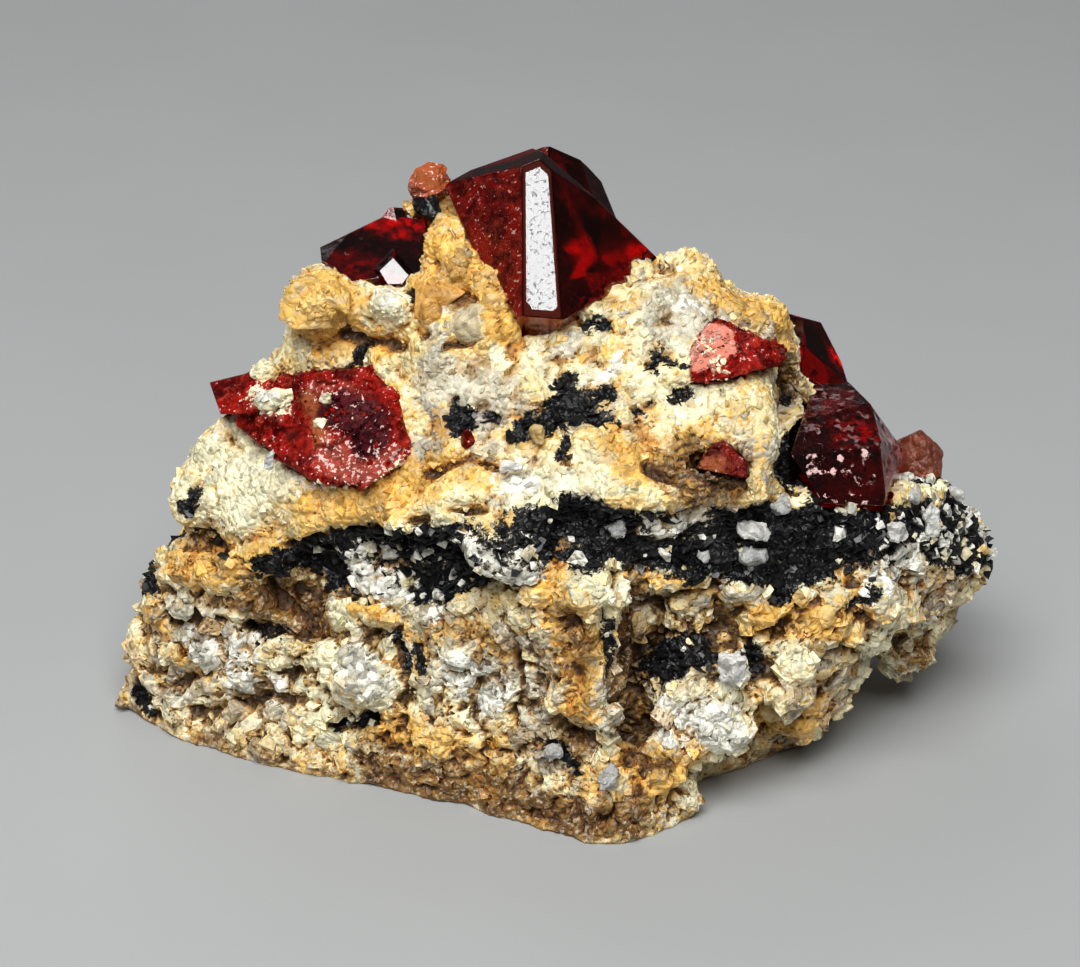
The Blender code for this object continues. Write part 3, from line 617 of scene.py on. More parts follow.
def band_heights(points):
    """Each point's height along the bedding, and that of the band's top and foot there."""
    height = points @ np.array(BEDDING)
    top = np.interp(points[:, 0], *zip(*BAND_TOP))
    foot = np.interp(points[:, 0], *zip(*BAND_FOOT))
    return height, top, foot


def band_mask(points):
    height, top, foot = band_heights(points)
    return np.clip(0.5 + np.minimum(top - height, height - foot) / BAND_SOFT, 0, 1)


def below_band(points):
    """1 in the coarse lower half of the rock, 0 above the black band."""
    height, _, foot = band_heights(points)
    return smoothstep(-0.4, 0.4, foot - height)


def noise_at(points, size, shift=0):
    """A smooth noise from about -1 to 1 at each point."""
    away = Vector((shift, shift, shift))
    return np.array([noise.noise(Vector(p) / size + away) for p in points.tolist()])


def masks_at(points):
    """Every colour mask at the points."""
    bent = wander(wander(points, 2.2, 0.55), 0.7, 0.22)
    behind = smoothstep(*BACK, points[:, 1])
    low = below_band(points)
    masks = {
        kind: stroke_mask(bent, PATCHES[kind], SOFT[kind])
        for kind in ("ochre", "brown", "grey", "pale")
    }
    dark = stroke_mask(wander(points, 0.8, 0.35), PATCHES["mica"], SOFT["mica"])
    masks["mica"] = np.maximum(band_mask(bent), dark)
    masks["spar"] = stroke_mask(wander(bent, 0.5, 0.25), PATCHES["spar"], SOFT["spar"])
    masks["low"] = low

    # Where no patch was listed, at the back and under the stains, noise lays them.
    far = noise_at(points, 2.4, 9)
    stain = np.clip(0.30 + 0.9 * noise_at(points, 3.1) + 0.35 * behind, 0, 1)
    share = np.clip(0.35 + 0.45 * behind + 0.2 * low, 0, 0.8)
    # Towards the foot the rock turns ochre and darker brown.
    under = smoothstep(*FOOT_ZONE, points[:, 2])
    for kind, more in (
        ("spar", behind * np.clip(0.5 + 2.2 * (far - 0.28), 0, 1)),
        ("mica", behind * np.clip(0.5 + 3 * (-far - 0.42), 0, 1)),
        ("ochre", np.maximum(stain * share, 0.6 * under)),
        ("brown", 0.5 * under),
    ):
        masks[kind] = np.maximum(masks[kind], more)
    bare = 1 - smoothstep(0.5, 0.8, masks["mica"])
    for kind in ("ochre", "brown", "grey", "pale"):
        masks[kind] = masks[kind] * bare
    return masks


# ------------------------------------------------------------------ materials


def node_tree(name):
    made = bpy.data.materials.new(name)
    made.use_nodes = True
    return made, made.node_tree, made.node_tree.nodes["Principled BSDF"]


def fill(tree, node, **values):
    """Gives inputs of a node, by name or number, a constant or another node's output."""
    for key, value in values.items():
        name = key.strip("_").replace("_", " ")
        socket = node.inputs[int(name) if name.isdigit() else name]
        if isinstance(value, bpy.types.NodeSocket):
            tree.links.new(value, socket)
        else:
            socket.default_value = value


def add(tree, kind, **values):
    """A node with its properties and, where the key starts with in_, its inputs."""
    made = tree.nodes.new(f"ShaderNode{kind}")
    for key, value in values.items():
        if key.startswith("in_"):
            fill(tree, made, **{key[2:]: value})
        else:
            setattr(made, key, value)
    return made


def rgba(value):
    """Another node's output as it is, or a colour with its alpha."""
    return value if isinstance(value, bpy.types.NodeSocket) else (*value, 1)


def mix(tree, factor, first, second, blend="MIX"):
    made = add(tree, "Mix", data_type="RGBA", blend_type=blend, in_0=factor,
               in_6=rgba(first), in_7=rgba(second))
    return made.outputs[2]


def math_node(tree, operation, *values):
    made = add(tree, "Math", operation=operation)
    for index, value in enumerate(values):
        fill(tree, made, **{str(index): value})
    return made.outputs[0]


def mapped(tree, value, low, high, to_low=0.0, to_high=1.0):
    made = add(tree, "MapRange", in_0=value, in_1=low, in_2=high, in_3=to_low, in_4=to_high)
    return made.outputs[0]


def mask_socket(tree, name):
    return add(tree, "Attribute", attribute_name=name).outputs["Fac"]


def own_place(tree):
    """The piece's own coordinates, from one node for the whole tree."""
    node = tree.nodes.get("Texture Coordinate") or add(tree, "TexCoord")
    return node.outputs["Object"]


def noise_texture(tree, scale, detail, roughness=0.5, distortion=0.0):
    return add(tree, "TexNoise", in_Vector=own_place(tree), in_Scale=scale,
               in_Detail=detail, in_Roughness=roughness, in_Distortion=distortion)


def unit_sum(tree, first, second):
    """The direction between two others."""
    summed = add(tree, "VectorMath", operation="ADD", in_0=first, in_1=second)
    unit = add(tree, "VectorMath", operation="NORMALIZE", in_0=summed.outputs[0])
    return unit.outputs[0]


def bumped(tree, shader, strength, distance, **inputs):
    """The shader's normal follows a bump with these inputs, distance in metres."""
    bump = add(tree, "Bump", in_Strength=strength, in_Distance=distance)
    fill(tree, bump, **inputs)
    fill(tree, shader, Normal=bump.outputs[0])


def grain_group():
    """Grain of broken stone: a bump height, a tone for each grain, and a normal that
    tips each grain its own way so that some catch the light."""
    tree = bpy.data.node_groups.new("stone_grain", "ShaderNodeTree")
    face = tree.interface
    for name, usual in (("Scale", 3000), ("Tip", 0.5)):
        socket = face.new_socket(name, in_out="INPUT", socket_type="NodeSocketFloat")
        socket.default_value = usual
    for name, kind in (("Height", "Float"), ("Tone", "Float"), ("Normal", "Vector")):
        face.new_socket(name, in_out="OUTPUT", socket_type=f"NodeSocket{kind}")
    start, end = tree.nodes.new("NodeGroupInput"), tree.nodes.new("NodeGroupOutput")
    bend = noise_texture(tree, 900.0, detail=2.0)
    shift = add(tree, "VectorMath", operation="MULTIPLY_ADD", in_0=bend.outputs["Color"],
                in_1=(0.0004, 0.0004, 0.0004), in_2=own_place(tree))
    cells = add(tree, "TexVoronoi", in_Vector=shift.outputs[0],
                in_Scale=start.outputs["Scale"])
    fine = noise_texture(tree, 9000.0, detail=3.0, roughness=0.6)
    round_top = math_node(tree, "SUBTRACT", 1.0, cells.outputs["Distance"])
    height = math_node(tree, "MULTIPLY_ADD", fine.outputs["Fac"], 0.35, round_top)
    split = add(tree, "SeparateColor", in_0=cells.outputs["Color"])
    centred = add(tree, "VectorMath", operation="SUBTRACT", in_0=cells.outputs["Color"],
                  in_1=(0.5, 0.5, 0.5))
    tipped = add(tree, "VectorMath", operation="SCALE", in_0=centred.outputs[0],
                 in_Scale=start.outputs["Tip"])
    flat = add(tree, "NewGeometry").outputs["Normal"]
    fill(tree, end, Height=height, Tone=split.outputs[0],
         Normal=unit_sum(tree, flat, tipped.outputs[0]))
    return tree


def grain_node(tree, scale, tip):
    made = tree.nodes.new("ShaderNodeGroup")
    made.node_tree = bpy.data.node_groups.get("stone_grain") or grain_group()
    fill(tree, made, Scale=scale, Tip=tip)
    return made


def part_way(first, second, share):
    return tuple((1 - share) * a + share * b for a, b in zip(first, second))


# For each patch of colour: how far the broken grains push its edge about, and between
# which values of its mask it comes in.
EDGES = {
    "pale": (2.0, 0.35, 0.8), "grey": (2.2, 0.4, 0.7), "ochre": (2.6, 0.36, 0.80),
    "spar": (2.6, 0.45, 0.62), "brown": (2.0, 0.35, 0.7), "mica": (1.7, 0.45, 0.53),
}


class StonePaint:
    """What the layers of the rock's colour share."""

    def __init__(self, tree):
        self.tree = tree
        self.rock = settings("rock")
        # Dark brown of dirt, also used for the painted shade in seams, hollows and pits.
        self.dirt = part_way(self.rock.brown, self.rock.black, 0.6)
        self.fine = grain_node(tree, scale=3400.0, tip=0.6)
        self.sugar = grain_node(tree, scale=7600.0, tip=0.8)
        self.low = mask_socket(tree, "low")
        ragged = noise_texture(tree, 1500.0, detail=6.0, roughness=0.75)
        broken = math_node(tree, "SUBTRACT", ragged.outputs["Fac"], 0.5)
        broken = math_node(tree, "MULTIPLY_ADD", self.fine.outputs["Tone"], 0.16, broken)
        self.broken = math_node(tree, "SUBTRACT", broken, 0.08)
        self.pale = math_node(tree, "MULTIPLY", self.patch("pale"), 0.75)
        self.stained = math_node(tree, "MULTIPLY", self.patch("ochre"), 0.92)
        self.white = self.patch("spar")

    def patch(self, name):
        """The mask of a patch, its edge broken along the grains."""
        push, low, high = EDGES[name]
        mask = mask_socket(self.tree, name)
        mask = math_node(self.tree, "MULTIPLY_ADD", self.broken, push, mask)
        return mapped(self.tree, mask, low, high)

    def shades(self, steps, kind=None):
        """Colours by the kind of each grain, each from its step upwards."""
        if kind is None:
            kind = mask_socket(self.tree, "kind")
        kind = math_node(self.tree, "MULTIPLY_ADD", self.broken, 0.25, kind)
        ramp_node = add(self.tree, "ValToRGB", in_0=kind)
        ramp = ramp_node.color_ramp
        while len(ramp.elements) < len(steps):
            ramp.elements.new(1)
        for stop, (start, colour) in zip(ramp.elements, steps):
            stop.position, stop.color = start, (*colour, 1)
        return ramp_node.outputs[0]


def bare_stone(paint):
    """The rock's own grains, honey and cream above the black band and paler below it."""
    tree, rock = paint.tree, paint.rock
    honey = part_way(rock.cream, rock.ochre, 0.7)
    upper = paint.shades([
        (0.05, part_way(rock.grey, rock.brown, 0.2)), (0.16, rock.grey), (0.22, honey),
        (0.36, honey), (0.42, rock.cream), (0.60, rock.cream), (0.68, rock.pale),
        (1.0, rock.pale),
    ])
    lower = paint.shades([
        (0.06, part_way(rock.grey, rock.brown, 0.5)), (0.20, rock.grey),
        (0.30, part_way(rock.pale, rock.grey, 0.6)), (0.38, honey), (0.46, rock.cream),
        (0.54, part_way(rock.pale, rock.grey, 0.2)), (0.70, rock.pale),
        (0.90, part_way(rock.pale, (1, 1, 1), 0.1)),
    ])
    body = mix(tree, paint.low, upper, lower)
    cloudy = noise_texture(tree, 380.0, detail=5.0, roughness=0.65)
    body = mix(tree, mapped(tree, cloudy.outputs["Fac"], 0.45, 0.65, 0, 0.4), body, honey)
    fleck = mapped(tree, paint.fine.outputs["Tone"], 0.6, 0.9, 0, 0.35)
    return mix(tree, fleck, body, rock.pale)


def patched_stone(paint, body):
    """The patches over the bare grains: pale, grey, stained, white and then brown, which is rust
    stain and painted shade in the recesses.
    """
    tree, rock = paint.tree, paint.rock
    body = mix(tree, paint.pale, body, rock.pale)
    grey = math_node(tree, "MULTIPLY", paint.patch("grey"), 0.8)
    body = mix(tree, grey, body, rock.grey)
    stain = paint.shades([
        (0.1, part_way(rock.ochre, rock.brown, 0.4)), (0.35, rock.ochre),
        (0.8, part_way(rock.ochre, rock.cream, 0.1)),
        (1.0, part_way(rock.ochre, rock.cream, 0.3)),
    ])
    body = mix(tree, paint.stained, body, stain)
    mixed = math_node(tree, "MULTIPLY", mask_socket(tree, "kind"), 0.5)
    mixed = math_node(tree, "MULTIPLY_ADD", paint.fine.outputs["Tone"], 0.5, mixed)
    spar = paint.shades([
        (0.1, (0.44, 0.42, 0.36)), (0.3, (0.70, 0.68, 0.58)), (0.45, (0.87, 0.86, 0.76)),
        (0.7, (0.94, 0.92, 0.83)),
    ], mixed)
    body = mix(tree, paint.white, body, spar)
    # Brown patches: rust stain, and painted shade where they lie in the recesses.
    rust_and_shade = paint.shades([
        (0.1, rock.brown), (0.5, part_way(rock.brown, rock.ochre, 0.15)),
        (0.9, part_way(rock.brown, rock.ochre, 0.38)),
    ])
    leaves = add(tree, "TexWave", bands_direction="Z", in_Vector=own_place(tree),
                 in_Scale=1100.0, in_Distortion=11.0, in_Detail=5.0, in_Detail_Scale=1.2)
    lined = mapped(tree, leaves.outputs["Fac"], 0.15, 0.45, 1, 0)
    lined = math_node(tree, "MULTIPLY", lined, mapped(tree, paint.low, 0, 1, 0.8, 0.35))
    rust_and_shade = mix(tree, lined, rust_and_shade, paint.dirt)
    return mix(tree, paint.patch("brown"), body, rust_and_shade)


def dirty_stone(paint, body):
    """Painted glints on random grain tips, then dirt and painted shade in the seams, the hollows
    and the small pits.
    """
    tree, rock, sugar = paint.tree, paint.rock, paint.sugar.outputs["Tone"]
    # Painted glints: a few grain tips lightened to near white, fewer on the stains.
    tip = mapped(tree, sugar, 0.80, 0.84, 0, 0.4)
    tip = math_node(tree, "MULTIPLY", tip, mapped(tree, paint.stained, 0, 1, 1, 0.4))
    body = mix(tree, tip, body, (0.97, 0.93, 0.76))
    # Seams between grains: dirt and painted shade, mostly below the band.
    seam = math_node(tree, "MULTIPLY_ADD", paint.broken, 1.6, mask_socket(tree, "seam"))
    seam = mapped(tree, seam, 0.65, 0.85, 0, 0.75)
    seam = math_node(tree, "MULTIPLY", seam, mapped(tree, paint.low, 0, 1, 0.12, 1))
    body = mix(tree, seam, body, paint.dirt)
    # Hollows: dirt and painted shade, brownish at first and dark deeper in.
    hollow_dirt_and_shade = mix(tree, 1.0, body, part_way(rock.ochre, rock.brown, 0.35), "MULTIPLY")
    hollow = math_node(tree, "MULTIPLY_ADD", paint.pale, -0.07, mask_socket(tree, "hollow"))
    body = mix(tree, mapped(tree, hollow, 0.52, 0.72, 0, 0.8), body, hollow_dirt_and_shade)
    body = mix(tree, mapped(tree, hollow, 0.66, 0.9, 0, 0.9), body, paint.dirt)
    # Small pits: dirt and painted shade where the sugar grains dip, more below the band.
    pitted = math_node(tree, "MULTIPLY_ADD", paint.low, 0.14, hollow)
    pitted = math_node(tree, "MULTIPLY_ADD", pitted, 0.65, -0.33)
    pitted = math_node(tree, "SUBTRACT", pitted, sugar)
    return mix(tree, mapped(tree, pitted, 0, 0.03, 0, 0.8), body, paint.dirt)


def toned_stone(paint, body):
    """Each grain a little lighter or darker than the next."""
    tree = paint.tree
    tone = mapped(tree, paint.fine.outputs["Tone"], 0, 1, 0.80, 1.15)
    own = mapped(tree, mask_socket(tree, "tone"), 0, 1, 0.76, 1.16)
    shade = math_node(tree, "MULTIPLY", tone, own)
    shades = add(tree, "CombineColor", in_0=shade, in_1=shade, in_2=shade)
    return mix(tree, 1.0, body, shades.outputs[0], "MULTIPLY")


def stone_material(name):
    """The rock's colours, laid by its masks, with broken edges between them."""
    made, tree, shader = node_tree(name)
    paint = StonePaint(tree)
    body = bare_stone(paint)
    for layer in (patched_stone, dirty_stone, toned_stone):
        body = layer(paint, body)
    mica = paint.patch("mica")
    mica = math_node(tree, "MULTIPLY", mica, mapped(tree, paint.white, 0, 1, 1, 0))
    fill(
        tree, shader, Base_Color=mix(tree, mica, body, paint.rock.black),
        Roughness=mapped(tree, mica, 0, 1, 0.6, 0.3), Specular_IOR_Level=0.5,
        Coat_Weight=mapped(tree, mica, 0, 1, 0.3, 0.05), Coat_Roughness=0.2, Coat_IOR=1.5,
    )
    normals = paint.fine.outputs["Normal"], paint.sugar.outputs["Normal"]
    bumped(tree, shader, strength=0.7, distance=0.00025,
           Height=paint.fine.outputs["Height"], Normal=unit_sum(tree, *normals))
    return made


def mica_material(name):
    made, tree, shader = node_tree(name)
    grain = grain_node(tree, scale=2400.0, tip=0.3)
    tone = grain.outputs["Tone"]
    dark = settings("rock").black
    sheen = tuple(2.2 * value for value in dark)
    fill(
        tree, shader, Base_Color=mix(tree, mapped(tree, tone, 0.4, 1.0), dark, sheen),
        Roughness=mapped(tree, tone, 0, 1, 0.18, 0.45), Specular_IOR_Level=0.5,
    )
    bumped(tree, shader, strength=0.25, distance=0.0001,
           Height=grain.outputs["Height"], Normal=grain.outputs["Normal"])
    return made


def grain_material(name, colour, clear, roughness, paler=0.4):
    """A single glassy or pearly grain, cloudy inside and cracked along its cleavage."""
    made, tree, shader = node_tree(name)
    grain = grain_node(tree, scale=2600.0, tip=0.45)
    cloudy = noise_texture(tree, 1100.0, detail=7.0, roughness=0.7).outputs["Fac"]
    murky = tuple(0.55 * value for value in colour)
    tone = mix(tree, mapped(tree, cloudy, 0.36, 0.62), murky, colour)
    bright = mapped(tree, grain.outputs["Tone"], 0.5, 1, 0, paler)
    tone = mix(tree, bright, tone, (0.95, 0.93, 0.86))
    fill(tree, shader, Base_Color=tone, Roughness=roughness, Transmission_Weight=clear,
         IOR=1.54)
    height = math_node(tree, "ADD", grain.outputs["Height"], cloudy)
    bumped(tree, shader, strength=0.7, distance=0.0002, Height=height,
           Normal=grain.outputs["Normal"])
    return made


def absorb(tree, depth):
    """Light takes on the crystals' tint on its way through them."""
    crystals = settings("crystals")
    absorbed = add(tree, "VolumeAbsorption", in_Density=depth * crystals.depth,
                   in_Color=(*crystals.tint, 1))
    fill(tree, tree.nodes["Material Output"], Volume=absorbed.outputs[0])


def zircon_material(
    name, roughness, depth, relief, etched=0.0, specks=0.0, glow=None, tint=(1, 1, 1)
):
    """Red crystal: plain transmission, with its colour in the depth. An etched one has
    small pits that tip its face this way and that, a specked one has dull spots, and a
    glow is a painted glow inside, orange where light comes through, given by its middle,
    radius and colour."""
    made, tree, shader = node_tree(name)
    glass = (0.95, 0.62, 0.55)
    fill(
        tree, shader, Base_Color=(*glass, 1), Roughness=roughness, Transmission_Weight=1,
        IOR=settings("crystals").refraction, Specular_Tint=(*tint, 1),
    )
    waves = noise_texture(tree, 1300.0, detail=6.0, roughness=0.65).outputs["Fac"]
    tipped = {}
    if etched:
        pits = grain_node(tree, scale=3600.0, tip=0.0)
        fill(tree, pits, Tip=mapped(tree, waves, 0.48, 0.56, 0, etched))
        tipped["Normal"] = pits.outputs["Normal"]
    bumped(tree, shader, strength=relief, distance=0.0001, Height=waves, **tipped)
    if specks:
        dull = noise_texture(tree, 5200.0, detail=3.0, roughness=0.7).outputs["Fac"]
        fill(tree, shader, Roughness=mapped(tree, dull, 0.54, 0.64, roughness, specks))
    # A painted glow: the glass turns orange about a point, standing in for light that comes
    # through the crystal.
    if glow:
        middle, radius, colour = glow
        away = add(tree, "VectorMath", operation="DISTANCE", in_0=own_place(tree),
                   in_1=tuple(MM * value for value in middle)).outputs["Value"]
        away = math_node(tree, "MULTIPLY_ADD", waves, 1.2 * radius * MM, away)
        inside = mapped(tree, away, 1.1 * radius * MM, 1.5 * radius * MM, 1, 0)
        fill(tree, shader, Base_Color=mix(tree, inside, glass, colour))
    absorb(tree, depth)
    return made


def cracked_zircon(name, clear, depth, milk=0.0, shade=1.0, crush=0.0):
    """Red crystal broken up inside: cloudy reds, darker or milkier in places, with pale
    specks where it is crushed, under a wet-looking skin."""
    made, tree, shader = node_tree(name)
    large = noise_texture(tree, 800.0, detail=4.0, roughness=0.6, distortion=1.2).outputs["Fac"]
    small = noise_texture(tree, 2600.0, detail=6.0, roughness=0.7, distortion=0.8).outputs["Fac"]
    dots = noise_texture(tree, 5200.0, detail=2.0, roughness=0.6).outputs["Fac"]
    broken = math_node(tree, "SUBTRACT", small, 0.5)

    def ragged(mask, low=0.4, high=0.6):
        return mapped(tree, math_node(tree, "MULTIPLY_ADD", broken, 1.8, mask), low, high)

    colour = mix(tree, mapped(tree, large, 0.42, 0.58), (0.09 * shade, 0.003, 0.003),
                 (0.38 * shade, 0.012, 0.007))
    flame = mapped(tree, small, 0.52, 0.68, 0, 0.6 * shade)
    colour = mix(tree, flame, colour, (0.74, 0.09, 0.045))
    shadowy = mapped(tree, small, 0.44, 0.34, 0, 0.7)
    colour = mix(tree, shadowy, colour, (0.06, 0.004, 0.003))
    orange = math_node(tree, "MULTIPLY", ragged(mask_socket(tree, "orange"), 0.4, 0.8), 0.7)
    colour = mix(tree, orange, colour, (0.46, 0.17, 0.06))
    milky = math_node(tree, "ADD", mask_socket(tree, "milky"), milk)
    cloud = math_node(tree, "MULTIPLY", ragged(milky, 0.4, 0.9), 0.45)
    colour = mix(tree, cloud, colour, (0.60, 0.16, 0.11))
    colour = mix(tree, ragged(mask_socket(tree, "salmon")), colour, (0.90, 0.34, 0.25))
    deep = mix(tree, mapped(tree, small, 0.42, 0.6), (0.008, 0.003, 0.006),
               (0.11, 0.009, 0.016))
    colour = mix(tree, ragged(mask_socket(tree, "dark"), 0.35, 0.75), colour, deep)
    crushed = math_node(tree, "MULTIPLY_ADD", milky, 0.13, dots)
    clusters = math_node(tree, "SUBTRACT", large, 0.5 - crush)
    crushed = math_node(tree, "MULTIPLY_ADD", clusters, 0.4, crushed)
    crushed = mapped(tree, crushed, 0.67, 0.72, 0, 0.9)
    fill(
        tree, shader, Base_Color=mix(tree, crushed, colour, (0.95, 0.74, 0.68)),
        Roughness=0.12, Transmission_Weight=clear, IOR=settings("crystals").refraction,
        Specular_IOR_Level=0.06, Specular_Tint=(1, 0.35, 0.3, 1),
    )
    bumped(tree, shader, strength=0.55, distance=0.00015, Height=small)
    absorb(tree, depth)
    return made


def grains_of(colour, clear, roughness, **more):
    return grain_material, dict(colour=colour, clear=clear, roughness=roughness, **more)


def clear_red(roughness, depth, relief, **more):
    return zircon_material, dict(roughness=roughness, depth=depth, relief=relief, **more)


def broken_red(clear, depth, **more):
    return cracked_zircon, dict(clear=clear, depth=depth, **more)


# Every material by name: what makes it, and with which values.
FINISHES = {
    "stone": (stone_material, {}),
    "mica": (mica_material, {}),
    "black_crystal": (mica_material, {}),
    "quartz": grains_of((0.72, 0.72, 0.70), 0.3, 0.15),
    "spar": grains_of((0.88, 0.87, 0.82), 0.1, 0.3),
    "honey": grains_of((0.88, 0.62, 0.26), 0.2, 0.2, paler=0.2),
    "gold": grains_of((0.84, 0.46, 0.12), 0.0, 0.35, paler=0.1),
    "amber": grains_of((0.95, 0.60, 0.17), 0.0, 0.45, paler=0.25),
    "beige": grains_of((0.90, 0.76, 0.48), 0.15, 0.25, paler=0.3),
    "salmon": grains_of((0.86, 0.36, 0.24), 0.3, 0.2),
    "brown_zircon": grains_of((0.42, 0.11, 0.05), 0.5, 0.12, paler=0.1),
    "red_zircon": clear_red(0.03, 0.8, 0.15, tint=(1, 0.5, 0.45)),
    "rim_zircon": clear_red(0.3, 0.8, 0.2, tint=(0.14, 0.03, 0.02)),
    "strip_zircon": clear_red(0.06, 1.0, 0.1, specks=0.6),
    "etched_zircon": clear_red(0.04, 1.5, 0.2, etched=0.1),
    # The right crystal's glow is painted: orange low inside it, where light comes through.
    "right_zircon": clear_red(
        0.04, 1.4, 0.3, etched=0.7, tint=(1, 0.7, 0.66),
        glow=((13.2, -3.4, 12.8), 1.1, (0.95, 0.20, 0.07)),
    ),
    "veiled_zircon": broken_red(0.6, 0.4, milk=0.15, crush=0.02),
    "broken_zircon": broken_red(0.2, 0.2, milk=0.05),
    "chip_zircon": broken_red(0.4, 0.3, shade=0.7),
    "rosy_zircon": broken_red(0.1, 0.1, milk=0.3, shade=1.5),
}


def material(name):
    """The named material, made the first time that it is asked for."""
    if name in bpy.data.materials:
        return bpy.data.materials[name]
    maker, values = FINISHES[name]
    return maker(name, **values)


# ------------------------------------------------------------------ the rock


def cell_numbers(point):
    """Three numbers from -1 to 1 that are the same all through one cell."""
    return 2 * noise.cell_vector(point) - Vector((1, 1, 1))


def chipped(point, size, step=0.0):
    """How far a face broken into cells of this size stands out at a point, as a share of
    that size: each cell leans its own way, and is raised by its own share of the step."""
    _, middles = noise.voronoi(point / size)
    own = cell_numbers(middles[0] * 5.0)
    return (point / size - middles[0]).dot(own) + step * own.z


def grain_relief(point, low, mica):
    """How far the stone's face stands out at a point, in millimetres: broken blocks at
    two sizes, each at its own level and tilt, and thin leaves in the mica. Also two
    numbers from 0 to 1 that differ from grain to grain, and one that is high on seams."""
    rock = settings("rock")
    p = Vector(point)
    bent = p + 0.3 * noise.noise_vector(p / 0.9)
    height, kind, seam, tone = 0.0, 0.0, 0.0, 0.0
    share = 0.45 + 0.1 * low
    open_here = max(0.0, 1 + 2.5 * noise.noise(p / 2.3))
    for size, step, tilt, groove, weight in (
        (2.6 + 0.3 * low, rock.clod / MM * (0.3 + 0.6 * low), 1.1,
         (0.06 + 0.14 * low) * open_here, share),
        (0.8, rock.facet / MM * (0.16 + 0.24 * low), 1.3, 0.03 + 0.12 * low, 1 - share),
    ):
        near, middles = noise.voronoi(bent / size)
        own = cell_numbers(middles[0] * 7.0)
        inside = min((near[1] - near[0]) * 5, 1)
        leaning = (bent / size - middles[0]).dot(own)
        height += step * (own.z + tilt * leaning) - groove * (1 - inside)
        kind += weight * (0.5 + 0.5 * own.x)
        seam = max(seam, (1 - inside) * (0.55 + 0.45 * own.y))
        tone = 0.5 + 0.5 * own.y
    height += 0.06 * noise.fractal(p / 0.45, 1.0, 2.0, 2)
    if mica > 0.01:
        across = p.dot(BEDDING) / 0.42 + 0.8 * noise.noise(p / 1.5)
        leaf = abs(across % 1 - 0.5) + 0.6 * noise.noise(p / 0.8)
        height += mica * (0.30 * leaf - 0.35 - 0.7 * height)
    kind = 0.5 + (kind - 0.5) * 1.4
    return height, min(max(kind, 0), 1), tone, seam


def neighbours_mean(points, edges, rounds):
    """The points, each drawn to the mean of its neighbours so many times over."""
    count = len(points)
    first, second = edges.T
    degree = np.bincount(first, minlength=count) + np.bincount(second, minlength=count)
    for _ in range(rounds):
        points = np.stack([
            np.bincount(first, points[second, axis], count)
            + np.bincount(second, points[first, axis], count)
            for axis in range(3)
        ], axis=1) / degree[:, None]
    return points


def hollows(mesh):
    """One half on an even face, towards 1 deep in a cleft and 0 on a sharp ridge."""
    points, normals = places_of(mesh), normals_of(mesh)
    edges = np.empty(len(mesh.edges) * 2, np.int32)
    mesh.edges.foreach_get("vertices", edges)
    edges = edges.reshape(-1, 2)
    near = neighbours_mean(points, edges, 5)
    far = neighbours_mean(near, edges, 45)
    normals = neighbours_mean(normals, edges, 3)
    normals /= np.linalg.norm(normals, axis=1)[:, None] + 1e-9
    small = ((near - points) * normals).sum(axis=1)
    large = ((far - points) * normals).sum(axis=1)
    return np.clip(0.5 + 2.2 * small + 0.6 * large, 0, 1)


def crystal_trees():
    trees = []
    for name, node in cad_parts.items():
        if name == "matrix":
            continue
        mesh = node.data
        points = [vertex.co / MM for vertex in mesh.vertices]
        faces = [tuple(polygon.vertices) for polygon in mesh.polygons]
        trees.append(BVHTree.FromPolygons(points, faces))
    return trees


# A point this close to a lump over the crystals counts as part of it.
LUMP_MARGIN = 0.15
# The rock within this reach of a crystal is drawn up against it, over the gap that the
# mesh leaves there, and stops just off its face.
SOCKET_REACH = 0.95
SOCKET_GAP = 0.34
SOCKET_OFF = 0.02


def in_outcrop(point):
    """Whether a point lies in or just off one of the lumps over the crystals."""
    return any(
        sum(((a - b) / (c + LUMP_MARGIN)) ** 2 for a, b, c in zip(point, centre, radii)) < 1
        for centre, radii in OUTCROPS
    )


def close_sockets(points):
    """Draws the rock that is within reach of a crystal up against it."""
    trees = crystal_trees()
    stretch = SOCKET_REACH / (SOCKET_REACH - SOCKET_GAP)
    for index, point in enumerate(points):
        if in_outcrop(point):
            continue
        best = None
        for tree in trees:
            spot, _, _, away = tree.find_nearest(Vector(point), SOCKET_REACH)
            if spot is not None and (best is None or away < best[1]):
                best = (spot, away)
        if best is None:
            continue
        spot, away = best
        kept = max(away - SOCKET_GAP, 0) * stretch + SOCKET_OFF
        if away > 1e-6:
            points[index] = np.array(spot) + (point - np.array(spot)) * kept / away
    return points


def add_outcrops(rock):
    """Joins the lumps that lap over the crystals to the rock."""
    lumps = []
    for centre, radii in OUTCROPS:
        deselect()
        bpy.ops.mesh.primitive_ico_sphere_add(subdivisions=3, radius=MM)
        lump = bpy.context.object
        set_places(lump.data, places_of(lump.data) * radii + np.array(centre))
        lumps.append(lump)
    take(rock)
    for lump in lumps:
        lump.select_set(True)
    bpy.ops.object.join()


# The relief grows from nothing between these heights, so the foot stays flat.
FLAT_FOOT = (0.05, 0.5)


